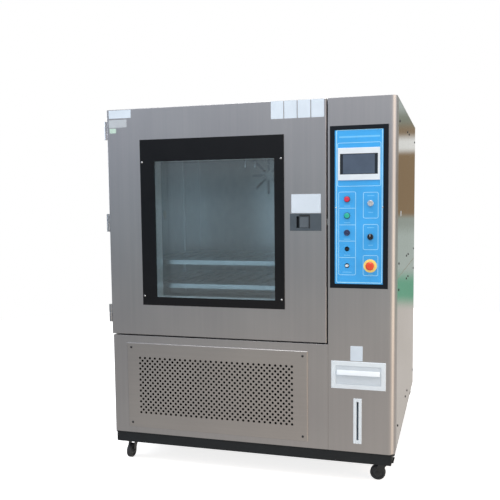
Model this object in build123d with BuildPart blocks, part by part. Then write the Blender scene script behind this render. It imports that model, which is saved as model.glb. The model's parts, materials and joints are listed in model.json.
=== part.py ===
from build123d import *
import os
from math import cos, pi, radians, sin

# Environmental test chamber: insulated workspace behind a windowed door, machine bay below it and a
# control column at the right. +X is to the right of a person at the door, -Y to that person, +Z up.
# Millimetres. The origin is on the floor, midway across the overall width and the cabinet depth.

# Overall sizes
cabinet_width = 1460.0
cabinet_depth = 1440.0
body_height = 1685.0
base_height = 54.0
caster_height = 105.0
hinge_overhang = 28.0
sheet = 2.0
seam = 0.5
seat = 0.3

# Round pieces are prisms with this many sides, so that the repeated ones stay light
round_sides = 20
small_sides = 12

# Door
door_height = 1159.6
door_thickness = 60.0
door_proud = 6.0
door_side_gap = 8.0
door_bottom_gap = 6.4
gasket_gap = 4.0
gasket_width = 24.0
gasket_margin = 12.0
plug_depth = 40.0
plug_gap = 8.0
plug_radius = 18.0
panel_edge = 2.0

# Window
glass_margins = (262.5, 253.2)
glass_height = 690.0
glass_bottom = 200.2
glass_thickness = 6.0
glass_rim = 12.0
pane_inset = 12.0
bezel_left_rim = 80.5
bezel_right_rim = 48.9
bezel_bottom_rim = 42.8
bezel_top_rim = 111.4
bezel_thickness = 4.0
bezel_edge = 1.0

# Hinges
hinge_height = 92.0
hinge_heights = (107.0, 581.5, 1055.0)
knuckle_radius = 10.0
pin_radius = 5.0
pin_clearance = 0.05
pin_side_offset = 12.0
pin_depth = 14.0
strap_thickness = 6.0
strap_length = 110.0
strap_width = 42.0
strap_gap = 2.0
strap_corner = 4.0
leaf_width = 44.0
leaf_setback = 6.0

# Door latch
latch_width = 153.0
latch_height = 82.6
latch_edge_gap = 23.6
latch_centre = 581.9
latch_plate = 3.0
cup_width = 63.0
cup_height = 56.0
cup_depth = 30.0
cup_wall = 2.5
cup_offset = 32.0
paddle_width = 45.0
paddle_height = 52.0
paddle_thickness = 6.0
paddle_pin_radius = 3.0
paddle_pin_inset = 7.0
paddle_pin_depth = 3.0
paddle_pin_reach = 1.3
paddle_edge = 3.5
paddle_proud = 1.0
paddle_round = 1.5
pin_hole_reach = 1.6
bolt_length = 60.0
bolt_height = 30.0
bolt_thickness = 16.0
bolt_depth = 30.0
bolt_reach = 6.0
bolt_travel = 14.0
bolt_nose = 5.0
bolt_slack = 1.0
keeper_thickness = 1.2
keeper_margin = 12.0
keeper_setback = 6.0
keeper_screw_radius = 3.0

# Workspace and insulated box
side_insulation = (93.9, 98.1)
work_height = 960.0
motor_bay = 102.0
box_drop = 4.4
duct_depth = 170.0
floor_insulation = 96.0
rear_insulation = 100.0
shelf_tops = (161.0, 286.0)
shelf_lip = 23.0
shelf_depth = 780.0
shelf_front = 66.0
shelf_side_gap = 16.0
shelf_slot = (34.0, 560.0)
upright_width = 30.0
upright_depth = 12.0
upright_inset = 120.0
bracket_height = 18.0
bracket_grip = 14.0
upright_end_gap = 40.0

# Air duct
fan_radius = 150.0
fan_depth = 62.0
fan_height = 760.0
fan_blades = 9
shaft_radius = 8.0
shaft_clearance = 0.05
shaft_hole = 13.0
blade_reach = 0.62
blade_tilt = 38.0
motor_radius = 80.0
motor_length = 88.0
motor_seat = 66.0
motor_edge = 8.0
motor_foot = 8.0
coil_height = 260.0
coil_side_gap = 95.0
coil_fins = 12
coil_fin = 6.0
coil_margin = 14.0
heater_height = 150.0
heater_gap = 30.0
heater_rods = 6
lamp_radius = 55.0
lamp_height = 38.0
lamp_edge = 12.0
lamp_setback = 170.0

# Machine bay
vent_height = 448.4
vent_side_gaps = (79.5, 99.7)
vent_bottom = 33.3
vent_proud = 8.0
vent_ledge = 22.0
vent_edge = 1.8
pattern_shift = (2.0, 1.0)
hole_radius = 10.5
hole_pitch_x = 58.0
hole_pitch_z = 72.4
hole_margin = 60.0
compressor_radius = 105.0
compressor_height = 300.0
compressor_place = (280.0, 420.0)
compressor_foot = (50.0, 34.0)
condenser_width = 420.0
condenser_height = 380.0
condenser_depth = 60.0
condenser_place = (420.0, 130.0)
condenser_fins = 12
condenser_fin = 4.0
condenser_fan_radius = 150.0
condenser_fan_gap = 12.0
condenser_hub_radius = 38.0
condenser_hub_depth = 40.0
condenser_hub_gap = 4.0
condenser_blades = 5
blade_width = 78.0
blade_angles = (97.0, 83.0)
tank_size = (150.0, 260.0, 220.0)
tank_gap = (40.0, 30.0)
tank_corner = 14.0
tank_edge = 6.0
tank_neck = (22.0, 14.0)

# Control column
column_width = 317.5
column_depth = 100.0
corner_radius = 30.0
panel_left = 9.9
panel_width = 271.4
panel_drop = 129.9
panel_height = 760.4
panel_proud = 6.0
panel_rim = 23.2
panel_rim_ends = 20.7
panel_recess = 2.0
panel_bevel = 1.5
plate_thickness = 3.0
plate_ledge = 8.0
device_radius = 14.5
device_neck = 11.0
device_height = 4.0
device_depth = 34.0
socket_radius = 12.0
mouth_rim = 5.0
mouth_depth = 8.0
cap_radius = 9.0
cap_clearance = 0.1
cap_height = 5.0
cap_head_radius = 12.5
cap_head = 4.4
cap_recess = 3.5
cap_edge = 1.5
stem_length = 26.0
left_devices = 57.8
right_devices = 166.5
red_height = 396.1
green_height = 319.1
buzzer_height = 239.1
socket_height = 163.1
jack_height = 84.1
upper_selector_height = 376.1
lower_selector_height = 220.1
stop_height = 84.1
stop_radius = 20.0
stop_travel = 6.0
stop_clear = 2.0
stop_head = 14.0
stop_crown = 5.0
screen_width = 194.8
screen_height = 150.0
screen_left = 15.0
screen_bottom = 486.2
screen_proud = 5.0
screen_depth = 30.0
screen_edge = 1.2
display_recess = 1.5
display_thickness = 2.0
display_rim = 10.0
display_bottom_rim = 27.5

# Water drawer and level gauge
drawer_left = 15.6
drawer_width = 259.6
drawer_bottom = 309.1
drawer_height = 133.8
drawer_rim = 22.3
drawer_proud = 5.0
drawer_depth = 230.0
tray_wall = 3.0
drawer_fit = 0.4
tray_recess = 1.0
tray_stop = 12.0
grip_inset = 14.0
gauge_left = 122.5
gauge_width = 39.5
gauge_bottom = 43.3
gauge_height = 220.8
gauge_slot = 10.0
gauge_proud = 4.0
gauge_depth = 18.0
gauge_slot_end = 16.0
gauge_tube_depth = 14.0
gauge_tube_radius = 4.5

# Side access panels and rear
access_split_y = 687.0
access_split_z = 835.0
access_fold = 16.0
access_edge = 1.5
screw_radius = 6.0
screw_height = 3.0
# Distances of the cover screws from the cover edges, front cover first and lower cover first
screw_insets_y = ((77.8, 66.9), (66.5, 49.6))
screw_insets_z = ((90.8, 64.2), (64.2, 97.0))
louvre_slots = 9

# Casters
caster_inset_x = 57.0
caster_inset_y = 91.0
caster_plate = (96.0, 76.0, 4.0)
race_radius = 27.0
race_height = 8.0
fork_plate = 6.0
fork_plate_x = (-18.0, 22.0)
king_radius = 6.0
king_head = 5.0
wheel_radius = 37.5
wheel_width = 28.0
axle_radius = 4.0
axle_clearance = 0.05
axle_nut = (7.0, 5.0)
fork_offset = 30.0
fork_thickness = 3.0
fork_gap = 1.5
fork_boss = 13.0
wheel_shoulder = 5.0
tyre_height = 12.0
hub_recess = 4.0
wheel_hub_radius = 12.0

# Cable port
port_radius = 25.0
port_wall = 2.0
port_flange = 12.0
port_depth = 420.0
port_height = 520.0
plug_clearance = 0.3
plug_head = 14.0
plug_head_margin = 8.0
plug_grip_edge = 3.0
port_proud = 3.0

# Places worked out from the sizes
left = -(cabinet_width - hinge_overhang) / 2
right = left + cabinet_width
front = -cabinet_depth / 2
rear = front + cabinet_depth
deck_z = caster_height + base_height
top_z = deck_z + body_height


def mid(span):
    """Middle of a span."""
    return (span[0] + span[1]) / 2


def length(span):
    """Length of a span."""
    return span[1] - span[0]


def run(start, size):
    """Span that starts at a place and has a size."""
    return (start, start + size)


def grow(span, margin):
    """Span with a margin added at both ends."""
    return (span[0] - margin, span[1] + margin)


def around(centre, size):
    """Span of a size centred on a place."""
    return (centre - size / 2, centre + size / 2)


column_x = (right - column_width, right)
door_x = (left - door_proud, column_x[0] - door_side_gap)
door_z = (top_z - door_height, top_z)
door_y = run(front, door_thickness)
box_front = door_y[1] + gasket_gap
box_x = (left, column_x[0] - seam)
bay_top = door_z[0] - door_bottom_gap
work_x = (box_x[0] + side_insulation[0], box_x[1] - side_insulation[1])
work_z = run(door_z[0] + floor_insulation, work_height)
box_rear = rear - sheet - motor_bay
liner_rear = box_rear - rear_insulation
duct_y = (liner_rear - sheet - duct_depth, liner_rear - sheet)
work_y = (box_front, duct_y[0])
glass_x = (door_x[0] + glass_margins[0], door_x[1] - glass_margins[1])
glass_z = run(door_z[0] + glass_bottom, glass_height)
tunnel_x = grow(glass_x, glass_rim)
tunnel_z = grow(glass_z, glass_rim)
plug_x = grow(work_x, -plug_gap)
plug_z = grow(work_z, -plug_gap)
plug_y = run(door_y[1], plug_depth)
duct_centre = (mid(work_x), work_z[0] + fan_height)


def bar(x, y, z, mode=Mode.ADD):
    """Block between three spans, added to the open part."""
    with BuildSketch(Plane.XY.offset(z[0])) as outline:
        with Locations((mid(x), mid(y))):
            Rectangle(length(x), length(y))
    extrude(outline.sketch, amount=length(z), mode=mode)


def front_pad(x, z, y, corner, mode=Mode.ADD):
    """Block seen from the front as a rectangle with cut corners, between two Y places."""
    with BuildSketch(Plane.XZ.offset(-y[1])) as outline:
        with Locations((mid(x), mid(z))):
            Rectangle(length(x), length(z))
        chamfer(outline.vertices(), corner)
    extrude(outline.sketch, amount=length(y), mode=mode)


def disc(plane, centre, depth, radius, sides, mode):
    """Round prism on a plane; no sides gives a true circle."""
    with BuildSketch(plane) as outline:
        with Locations(centre):
            if sides:
                RegularPolygon(radius, sides)
            else:
                Circle(radius)
    extrude(outline.sketch, amount=depth, mode=mode)


def front_disc(centre, y, radius, mode=Mode.ADD, sides=small_sides):
    """Round disc or hole with its axis along Y."""
    disc(Plane.XZ.offset(-y[1]), centre, length(y), radius, sides, mode)


def side_disc(centre, x, radius, mode=Mode.ADD, sides=small_sides):
    """Round disc or hole with its axis along X."""
    disc(Plane.YZ.offset(x[0]), centre, length(x), radius, sides, mode)


def upright_disc(centre, z, radius, mode=Mode.ADD, sides=small_sides):
    """Round disc or hole with its axis along Z."""
    disc(Plane.XY.offset(z[0]), centre, length(z), radius, sides, mode)


def bore(radius, sides=small_sides):
    """Radius of a many-sided bore whose flats just reach a round of this radius."""
    return radius / cos(pi / sides)


def save(part, name):
    """Label a finished piece and write its file."""
    part.label = name
    export_step(part, f"parts/{name}.step")


os.makedirs("parts", exist_ok=True)

# Base frame: folded channel rails and cross members under one deck plate
rail_flange = 40.0
rail_wall = 4.0
deck_thickness = 3.0
base_left_inset = 4.0
base_right_inset = 16.0
base_front_inset = 3.0
rail_z = (caster_height, deck_z - deck_thickness)
base_x = (left + base_left_inset, right - base_right_inset)
base_y = (front + base_front_inset, rear - base_front_inset)
cross_places = (cabinet_width / 3, 2 * cabinet_width / 3)


def rail_along_x(x, outer_y, inward):
    """Channel rail along X, with its open side turned inward."""
    with BuildSketch(Plane.YZ.offset(x[0])) as profile:
        with Locations((outer_y + inward * rail_flange / 2, mid(rail_z))):
            Rectangle(rail_flange, length(rail_z))
        with Locations((outer_y + inward * (rail_flange + rail_wall) / 2, mid(rail_z))):
            Rectangle(rail_flange - rail_wall, length(rail_z) - 2 * rail_wall, mode=Mode.SUBTRACT)
    extrude(profile.sketch, amount=length(x))


def rail_along_y(y, outer_x, inward):
    """Channel rail along Y, with its open side turned inward."""
    with BuildSketch(Plane.XZ.offset(-y[1])) as profile:
        with Locations((outer_x + inward * rail_flange / 2, mid(rail_z))):
            Rectangle(rail_flange, length(rail_z))
        with Locations((outer_x + inward * (rail_flange + rail_wall) / 2, mid(rail_z))):
            Rectangle(rail_flange - rail_wall, length(rail_z) - 2 * rail_wall, mode=Mode.SUBTRACT)
    extrude(profile.sketch, amount=length(y))


inner_y = grow(base_y, -rail_flange)
with BuildPart() as front_rail:
    rail_along_x(base_x, base_y[0], 1)
with BuildPart() as rear_rail:
    rail_along_x(base_x, base_y[1], -1)
with BuildPart() as left_rail:
    rail_along_y(inner_y, base_x[0], 1)
with BuildPart() as right_rail:
    rail_along_y(inner_y, base_x[1], -1)
with BuildPart() as deck:
    bar((left, right), (front, rear), (rail_z[1], deck_z))
base_solids = [front_rail.part, rear_rail.part, left_rail.part, right_rail.part, deck.part]
for place in cross_places:
    with BuildPart() as cross_rail:
        rail_along_y(inner_y, left + place, 1)
    base_solids.append(cross_rail.part)
save(Compound(children=base_solids), "base_frame")

# Casters: a fixed plate with race and king pin, a swivelling fork with its axle, and a wheel
plate_z = (caster_height - caster_plate[2], caster_height)
race_z = (plate_z[0] - race_height, plate_z[0])
fork_top_z = (race_z[0] - seat - fork_plate, race_z[0] - seat)
king_head_radius = 9.0
king_head_z = (fork_top_z[0] - seat - king_head, fork_top_z[0] - seat)
caster_x = (left + caster_inset_x, right - caster_inset_x)
caster_y = (front + caster_inset_y, rear - caster_inset_y)
caster_spots = {
    "front_left": (caster_x[0], caster_y[0], -90.0),
    "front_right": (caster_x[1], caster_y[0], 180.0),
    "rear_left": (caster_x[0], caster_y[1], 90.0),
    "rear_right": (caster_x[1], caster_y[1], 90.0),
}
fork_inner = wheel_width / 2 + fork_gap

with BuildPart() as caster_plate_part:
    bar(around(0, caster_plate[0]), around(0, caster_plate[1]), plate_z)
    upright_disc((0, 0), race_z, race_radius)
    upright_disc((0, 0), (king_head_z[0], race_z[0]), king_radius)
    upright_disc((0, 0), king_head_z, king_head_radius)

with BuildPart() as fork:
    upright_disc((0, 0), fork_top_z, race_radius)
    bar(fork_plate_x, around(0, 2 * (fork_inner + fork_thickness)), fork_top_z)
    for side in (-1, 1):
        leg_y = fork_inner if side > 0 else -fork_inner - fork_thickness
        with BuildSketch(Plane.XZ.offset(-leg_y - fork_thickness)) as leg:
            with Locations((fork_offset, wheel_radius)):
                RegularPolygon(fork_boss, 8)
            with Locations((mid(fork_plate_x), mid(fork_top_z))):
                Rectangle(length(fork_plate_x), length(fork_top_z))
            make_hull()
        extrude(leg.sketch, amount=fork_thickness)
    king_hole = bore(king_radius + axle_clearance)
    upright_disc((0, 0), fork_top_z, king_hole, mode=Mode.SUBTRACT)
    front_disc((fork_offset, wheel_radius), around(0, 2 * (fork_inner + fork_thickness)), axle_radius)
    for side in (-1, 1):
        with BuildSketch(Plane.XZ.offset(side * (fork_inner + fork_thickness))) as nut:
            with Locations((fork_offset, wheel_radius)):
                RegularPolygon(axle_nut[0], 6)
        extrude(nut.sketch, amount=side * axle_nut[1])

with BuildPart() as wheel:
    front_disc((0, 0), around(0, wheel_width), wheel_radius, sides=round_sides)
    tread_edges = wheel.faces().sort_by(Axis.Y)[0].edges() + wheel.faces().sort_by(Axis.Y)[-1].edges()
    chamfer(tread_edges, wheel_shoulder)
    for face_y in (-wheel_width / 2, wheel_width / 2 - hub_recess):
        front_disc((0, 0), run(face_y, hub_recess), wheel_radius - tyre_height, mode=Mode.SUBTRACT)
        front_disc((0, 0), run(face_y, hub_recess), wheel_hub_radius)
    front_disc((0, 0), around(0, wheel_width), bore(axle_radius + axle_clearance), mode=Mode.SUBTRACT)

plates = []
for corner, (spot_x, spot_y, turn) in caster_spots.items():
    plates.append(caster_plate_part.part.moved(Location((spot_x, spot_y, 0))))
    save(fork.part.moved(Location((spot_x, spot_y, 0), (0, 0, turn))), f"fork_{corner}")
    hub_x = spot_x + fork_offset * cos(radians(turn))
    hub_y = spot_y + fork_offset * sin(radians(turn))
    save(wheel.part.moved(Location((hub_x, hub_y, wheel_radius), (0, 0, turn))), f"wheel_{corner}")
save(Compound(children=plates), "caster_plates")

# Chamber liner: bright steel box with a face flange around its mouth
liner_x = grow(work_x, sheet)
liner_z = grow(work_z, sheet)
flange_y = run(box_front, sheet)
box_z = (door_z[0] - box_drop, top_z - sheet)
port_y = work_y[0] + port_depth
port_z = work_z[0] + port_height
tube_radius = port_radius + port_wall
with BuildPart() as chamber_liner:
    bar(liner_x, (box_front, liner_rear), liner_z)
    bar(box_x, flange_y, box_z)
    bar(work_x, (box_front, duct_y[1]), work_z, mode=Mode.SUBTRACT)
    side_disc((port_y, port_z), (liner_x[0], work_x[0]), bore(tube_radius) + seat, mode=Mode.SUBTRACT)
    front_disc(duct_centre, (duct_y[1], liner_rear), shaft_hole, mode=Mode.SUBTRACT)
save(chamber_liner.part, "chamber_liner")

# Insulation: foam body that fits round the liner, bored for the cable port and the fan shaft
foam_x = (left + sheet, box_x[1])
with BuildPart() as insulation:
    bar(foam_x, (flange_y[1], box_rear), box_z)
    bar(liner_x, (flange_y[1], liner_rear), liner_z, mode=Mode.SUBTRACT)
    side_disc((port_y, port_z), (foam_x[0], liner_x[0]), bore(tube_radius) + seat, mode=Mode.SUBTRACT)
    front_disc(duct_centre, (liner_rear, box_rear), shaft_hole, mode=Mode.SUBTRACT)
save(insulation.part, "insulation")

# Cabinet wrapper: left side and roof folded from one sheet, with a step over the column front
roof_z = (top_z - sheet, top_z)
column_rear = front + column_depth
with BuildPart() as cabinet_wrapper:
    bar((left, left + sheet), (flange_y[1], rear - sheet), (deck_z, top_z))
    bar((left, column_x[0] - seam), (flange_y[1], rear - sheet), roof_z)
    bar((column_x[0] - seam, right), (column_rear + seam, rear - sheet), roof_z)
    side_disc((port_y, port_z), (left, left + sheet), bore(tube_radius) + seat, mode=Mode.SUBTRACT)
save(cabinet_wrapper.part, "cabinet_wrapper")

# Rear panel with cooling louvres and the two service openings
gland_radius = 16.0
drain_radius = 12.7
service_z = deck_z + 90.0
gland_inset = 280.0
drain_inset = 260.0
gland_x = right - gland_inset
drain_x = left + drain_inset
louvre_width = 260.0
louvre_pitch = 32.0
louvre_height = 9.0
louvre_centre = 260.0
louvre_spacing = 325.0
with BuildPart() as rear_panel:
    bar((left, right), (rear - sheet, rear), (deck_z, top_z))
    with BuildSketch(Plane.XZ.offset(-rear)) as slots:
        with Locations((left + cabinet_width / 2, deck_z + louvre_centre)):
            with GridLocations(louvre_spacing, louvre_pitch, 2, louvre_slots):
                Rectangle(louvre_width, louvre_height)
    extrude(slots.sketch, amount=sheet, mode=Mode.SUBTRACT)
    for centre_x, body in ((gland_x, gland_radius), (drain_x, drain_radius)):
        front_disc((centre_x, service_z), (rear - sheet, rear), bore(body) + seat, mode=Mode.SUBTRACT)
save(rear_panel.part, "rear_panel")

# Rear services: power cable gland and condensate drain stub, each with a back nut
service_reach = 32.0
gland_bore = 9.0
drain_bore = 10.2
nut_height = 8.0
nut_margin = 8.0
service_solids = []
service_pipes = (
    (gland_x, gland_radius, small_sides, gland_bore, 0),
    (drain_x, drain_radius, 0, drain_bore, small_sides),
)
body_y = (rear - sheet - nut_height, rear + service_reach)
for centre_x, body, body_sides, hollow, hollow_sides in service_pipes:
    with BuildPart() as service:
        front_disc((centre_x, service_z), body_y, body, sides=body_sides)
        for nut_y in (rear + nut_height, rear - sheet):
            with BuildSketch(Plane.XZ.offset(-nut_y)) as nut:
                with Locations((centre_x, service_z)):
                    RegularPolygon(body + nut_margin, 6)
            extrude(nut.sketch, amount=nut_height)
        front_disc((centre_x, service_z), body_y, hollow, mode=Mode.SUBTRACT, sides=hollow_sides)
    service_solids.append(service.part)
save(Compound(children=service_solids), "rear_services")

# Front frame of the machine bay: folded pan with a mouth for the vent panel
bay_x = (left, column_x[0] - seam)
vent_x = (bay_x[0] + vent_side_gaps[0], bay_x[1] - vent_side_gaps[1])
vent_z = run(deck_z + vent_bottom, vent_height)
with BuildPart() as bay_front:
    bar(bay_x, (front, box_front), (deck_z, bay_top))
    bar(grow(bay_x, -sheet), (front + sheet, box_front), (deck_z, bay_top - sheet), mode=Mode.SUBTRACT)
    bar(grow(vent_x, -vent_ledge), run(front, sheet), grow(vent_z, -vent_ledge), mode=Mode.SUBTRACT)
save(bay_front.part, "bay_front")

# Vent panel: shallow perforated tray that stands proud of the bay front
hole_columns = int((length(vent_x) - 2 * hole_margin) / hole_pitch_x) + 1
hole_rows = int((length(vent_z) - 2 * hole_margin) / hole_pitch_z) + 1
with BuildPart() as vent_panel:
    bar(vent_x, (front - vent_proud, front), vent_z)
    front_face = vent_panel.faces().sort_by(Axis.Y)[0]
    chamfer(front_face.edges(), vent_edge)
    bar(grow(vent_x, -sheet), (front - vent_proud + sheet, front), grow(vent_z, -sheet), mode=Mode.SUBTRACT)
    with BuildSketch(Plane.XZ.offset(-(front - vent_proud + sheet))) as holes:
        with Locations((mid(vent_x) + pattern_shift[0], mid(vent_z) + pattern_shift[1])):
            with GridLocations(hole_pitch_x, hole_pitch_z, hole_columns, hole_rows):
                RegularPolygon(hole_radius, 6)
            with GridLocations(hole_pitch_x, hole_pitch_z, hole_columns - 1, hole_rows - 1):
                RegularPolygon(hole_radius, 6)
    extrude(holes.sketch, amount=sheet, mode=Mode.SUBTRACT)
save(vent_panel.part, "vent_panel")

# Side access panels: four folded covers on the right side
access_x = (right - sheet, right)
access_y = (column_rear + seam, column_rear + seam + access_split_y, rear - sheet)
access_z = (deck_z, deck_z + access_split_z, top_z - sheet)
screw_spots = []
access_solids = []
for y_index in range(2):
    for z_index in range(2):
        cover_y = (access_y[y_index] + seam * y_index, access_y[y_index + 1])
        cover_z = (access_z[z_index] + seam * z_index, access_z[z_index + 1])
        with BuildPart() as cover:
            bar((right - access_fold, right), cover_y, cover_z)
            outer_face = cover.faces().sort_by(Axis.X)[-1]
            chamfer(outer_face.edges(), access_edge)
            hollow_x = (right - access_fold, right - sheet)
            bar(hollow_x, grow(cover_y, -sheet), grow(cover_z, -sheet), mode=Mode.SUBTRACT)
        access_solids.append(cover.part)
        inset_y = screw_insets_y[y_index]
        inset_z = screw_insets_z[z_index]
        for screw_y in (cover_y[0] + inset_y[0], cover_y[1] - inset_y[1]):
            for screw_z in (cover_z[0] + inset_z[0], cover_z[1] - inset_z[1]):
                screw_spots.append((screw_y, screw_z))
save(Compound(children=access_solids), "side_access_panels")

# Panel screws: heads on the vent panel and on the side covers
vent_screw_inset = 24.0
screw_solids = []
for spot_x in grow(vent_x, -vent_screw_inset):
    for spot_z in grow(vent_z, -vent_screw_inset):
        with BuildPart() as vent_screw:
            with BuildSketch(Plane.XZ.offset(-(front - vent_proud))) as head:
                with Locations((spot_x, spot_z)):
                    RegularPolygon(screw_radius, 6)
            extrude(head.sketch, amount=screw_height)
        screw_solids.append(vent_screw.part)
for spot in screw_spots:
    with BuildPart() as side_screw:
        with BuildSketch(Plane.YZ.offset(right)) as head:
            with Locations(spot):
                RegularPolygon(screw_radius, 6)
        extrude(head.sketch, amount=screw_height)
    screw_solids.append(side_screw.part)
save(Compound(children=screw_solids), "panel_screws")

# Column front: rounded channel with openings for the controls, the water drawer and the gauge
panel_x = run(column_x[0] + panel_left, panel_width)
panel_z = run(top_z - panel_drop - panel_height, panel_height)
drawer_x = run(column_x[0] + drawer_left, drawer_width)
drawer_z = run(deck_z + drawer_bottom, drawer_height)
gauge_x = run(column_x[0] + gauge_left, gauge_width)
gauge_z = run(deck_z + gauge_bottom, gauge_height)
latch_z = door_z[0] + latch_centre
bolt_y = run(front + bolt_depth - bolt_thickness / 2, bolt_thickness)
bolt_z = around(latch_z, bolt_height)
panel_mouth = 12.0
with BuildPart() as column_front:
    bar(column_x, (front, column_rear), (deck_z, top_z))
    corner = column_front.edges().filter_by(Axis.Z).group_by(Axis.Y)[0].sort_by(Axis.X)[-1]
    fillet(corner, corner_radius)
    rear_face = column_front.faces().sort_by(Axis.Y)[-1]
    offset(amount=-sheet, openings=rear_face)
    bar(grow(panel_x, -panel_mouth), run(front, sheet), grow(panel_z, -panel_mouth), mode=Mode.SUBTRACT)
    bar(grow(drawer_x, -drawer_rim / 2), run(front, sheet), grow(drawer_z, -drawer_rim / 2), mode=Mode.SUBTRACT)
    bar(grow(gauge_x, -sheet * 2), run(front, sheet), grow(gauge_z, -sheet * 2), mode=Mode.SUBTRACT)
    bar(run(column_x[0], sheet), grow(bolt_y, bolt_slack), grow(bolt_z, bolt_slack), mode=Mode.SUBTRACT)
save(column_front.part, "column_front")

# Latch keeper: slotted plate on the flank of the column, facing the door edge
with BuildPart() as latch_keeper:
    keeper_x = (column_x[0] - keeper_thickness, column_x[0])
    keeper_y = (front + keeper_setback, bolt_y[1] + keeper_margin)
    bar(keeper_x, keeper_y, grow(bolt_z, 2 * keeper_margin))
    bar(keeper_x, grow(bolt_y, bolt_slack), grow(bolt_z, bolt_slack), mode=Mode.SUBTRACT)
    for edge_z in grow(bolt_z, keeper_margin):
        side_disc((mid(bolt_y), edge_z), keeper_x, keeper_screw_radius, mode=Mode.SUBTRACT, sides=6)
save(latch_keeper.part, "latch_keeper")

# Control bezel: black frame with a rabbet that holds the control plate
plate_x = grow(panel_x, -panel_rim)
plate_z_span = grow(panel_z, -panel_rim_ends)
bezel_y = (front - panel_proud, front)
plate_y = run(front - panel_proud + panel_recess, plate_thickness)
with BuildPart() as control_bezel:
    bar(panel_x, bezel_y, panel_z)
    bezel_face = control_bezel.faces().sort_by(Axis.Y)[0]
    chamfer(bezel_face.edges(), panel_bevel)
    bar(grow(plate_x, seat), (bezel_y[0], plate_y[1]), grow(plate_z_span, seat), mode=Mode.SUBTRACT)
    bar(grow(plate_x, -plate_ledge), bezel_y, grow(plate_z_span, -plate_ledge), mode=Mode.SUBTRACT)
save(control_bezel.part, "control_bezel")

# Control plate: blue sheet with round device holes and a cut-out for the touch screen
left_x = panel_x[0] + left_devices + panel_rim
right_x = panel_x[0] + right_devices + panel_rim
device_spots = {
    "red": (left_x, panel_z[0] + red_height + panel_rim),
    "green": (left_x, panel_z[0] + green_height + panel_rim),
    "buzzer": (left_x, panel_z[0] + buzzer_height + panel_rim),
    "socket": (left_x, panel_z[0] + socket_height + panel_rim),
    "jack": (left_x, panel_z[0] + jack_height + panel_rim),
    "upper": (right_x, panel_z[0] + upper_selector_height + panel_rim),
    "lower": (right_x, panel_z[0] + lower_selector_height + panel_rim),
    "stop": (right_x, panel_z[0] + stop_height + panel_rim),
}
screen_x = run(plate_x[0] + screen_left, screen_width)
screen_z = run(plate_z_span[0] + screen_bottom, screen_height)
screen_neck = 8.0
with BuildPart() as control_plate:
    bar(plate_x, plate_y, plate_z_span)
    bar(grow(screen_x, -screen_neck), plate_y, grow(screen_z, -screen_neck), mode=Mode.SUBTRACT)
    for spot in device_spots.values():
        front_disc(spot, plate_y, bore(device_neck) + seat, mode=Mode.SUBTRACT)
save(control_plate.part, "control_plate")

# Touch screen: pale housing with a window, and the dark display behind it
display_x = grow(screen_x, -display_rim)
display_z = (screen_z[0] + display_bottom_rim, screen_z[1] - display_bottom_rim)
display_y = run(plate_y[0] - screen_proud + display_recess, display_thickness)
with BuildPart() as screen_housing:
    bar(screen_x, (plate_y[0] - screen_proud, plate_y[0]), screen_z)
    screen_face = screen_housing.faces().sort_by(Axis.Y)[0]
    chamfer(screen_face.edges(), screen_edge)
    neck_x = grow(screen_x, -screen_neck - seat)
    bar(neck_x, (plate_y[0], plate_y[1] + screen_depth), grow(screen_z, -screen_neck - seat))
    pocket_y = (plate_y[0] - screen_proud, display_y[1])
    bar(grow(display_x, seat), pocket_y, grow(display_z, seat), mode=Mode.SUBTRACT)
save(screen_housing.part, "screen_housing")
with BuildPart() as screen_display:
    bar(display_x, display_y, display_z)
save(screen_display.part, "screen_display")

# Switch collars: round bezels with necks behind the plate, a buzzer, a socket and a jack
collar_sides = 12
collar_y = (plate_y[0] - device_height, plate_y[0])
neck_y = (plate_y[0], plate_y[1] + device_depth)
collar_solids = []
for device in ("red", "green", "upper", "lower", "stop"):
    with BuildPart() as collar:
        front_disc(device_spots[device], collar_y, device_radius, sides=collar_sides)
        front_disc(device_spots[device], neck_y, device_neck)
        plunger_bore = bore(cap_radius + cap_clearance)
        front_disc(device_spots[device], (collar_y[0], neck_y[1]), plunger_bore, mode=Mode.SUBTRACT)
        if device in ("red", "green"):
            recess_y = run(collar_y[0], cap_recess)
            recess_bore = bore(cap_head_radius + cap_clearance)
            front_disc(device_spots[device], recess_y, recess_bore, mode=Mode.SUBTRACT)
    collar_solids.append(collar.part)
for device, rim in (("buzzer", device_radius), ("socket", socket_radius), ("jack", socket_radius)):
    with BuildPart() as fixed_device:
        front_disc(device_spots[device], collar_y, rim, sides=collar_sides)
        front_disc(device_spots[device], neck_y, device_neck)
        front_disc(device_spots[device], run(collar_y[0], mouth_depth), rim - mouth_rim, mode=Mode.SUBTRACT)
    collar_solids.append(fixed_device.part)
save(Compound(children=collar_solids), "switch_collars")

# Push buttons: wide cap that sinks into the collar, on a stem that guides it
cap_y = run(collar_y[0] - cap_height, cap_head)
stem_y = (cap_y[1], collar_y[0] + stem_length)
for device in ("red", "green"):
    with BuildPart() as button:
        front_disc(device_spots[device], cap_y, cap_head_radius)
        cap_face = button.faces().sort_by(Axis.Y)[0]
        chamfer(cap_face.edges(), cap_edge)
        front_disc(device_spots[device], stem_y, cap_radius)
    save(button.part, f"{device}_button")

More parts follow.
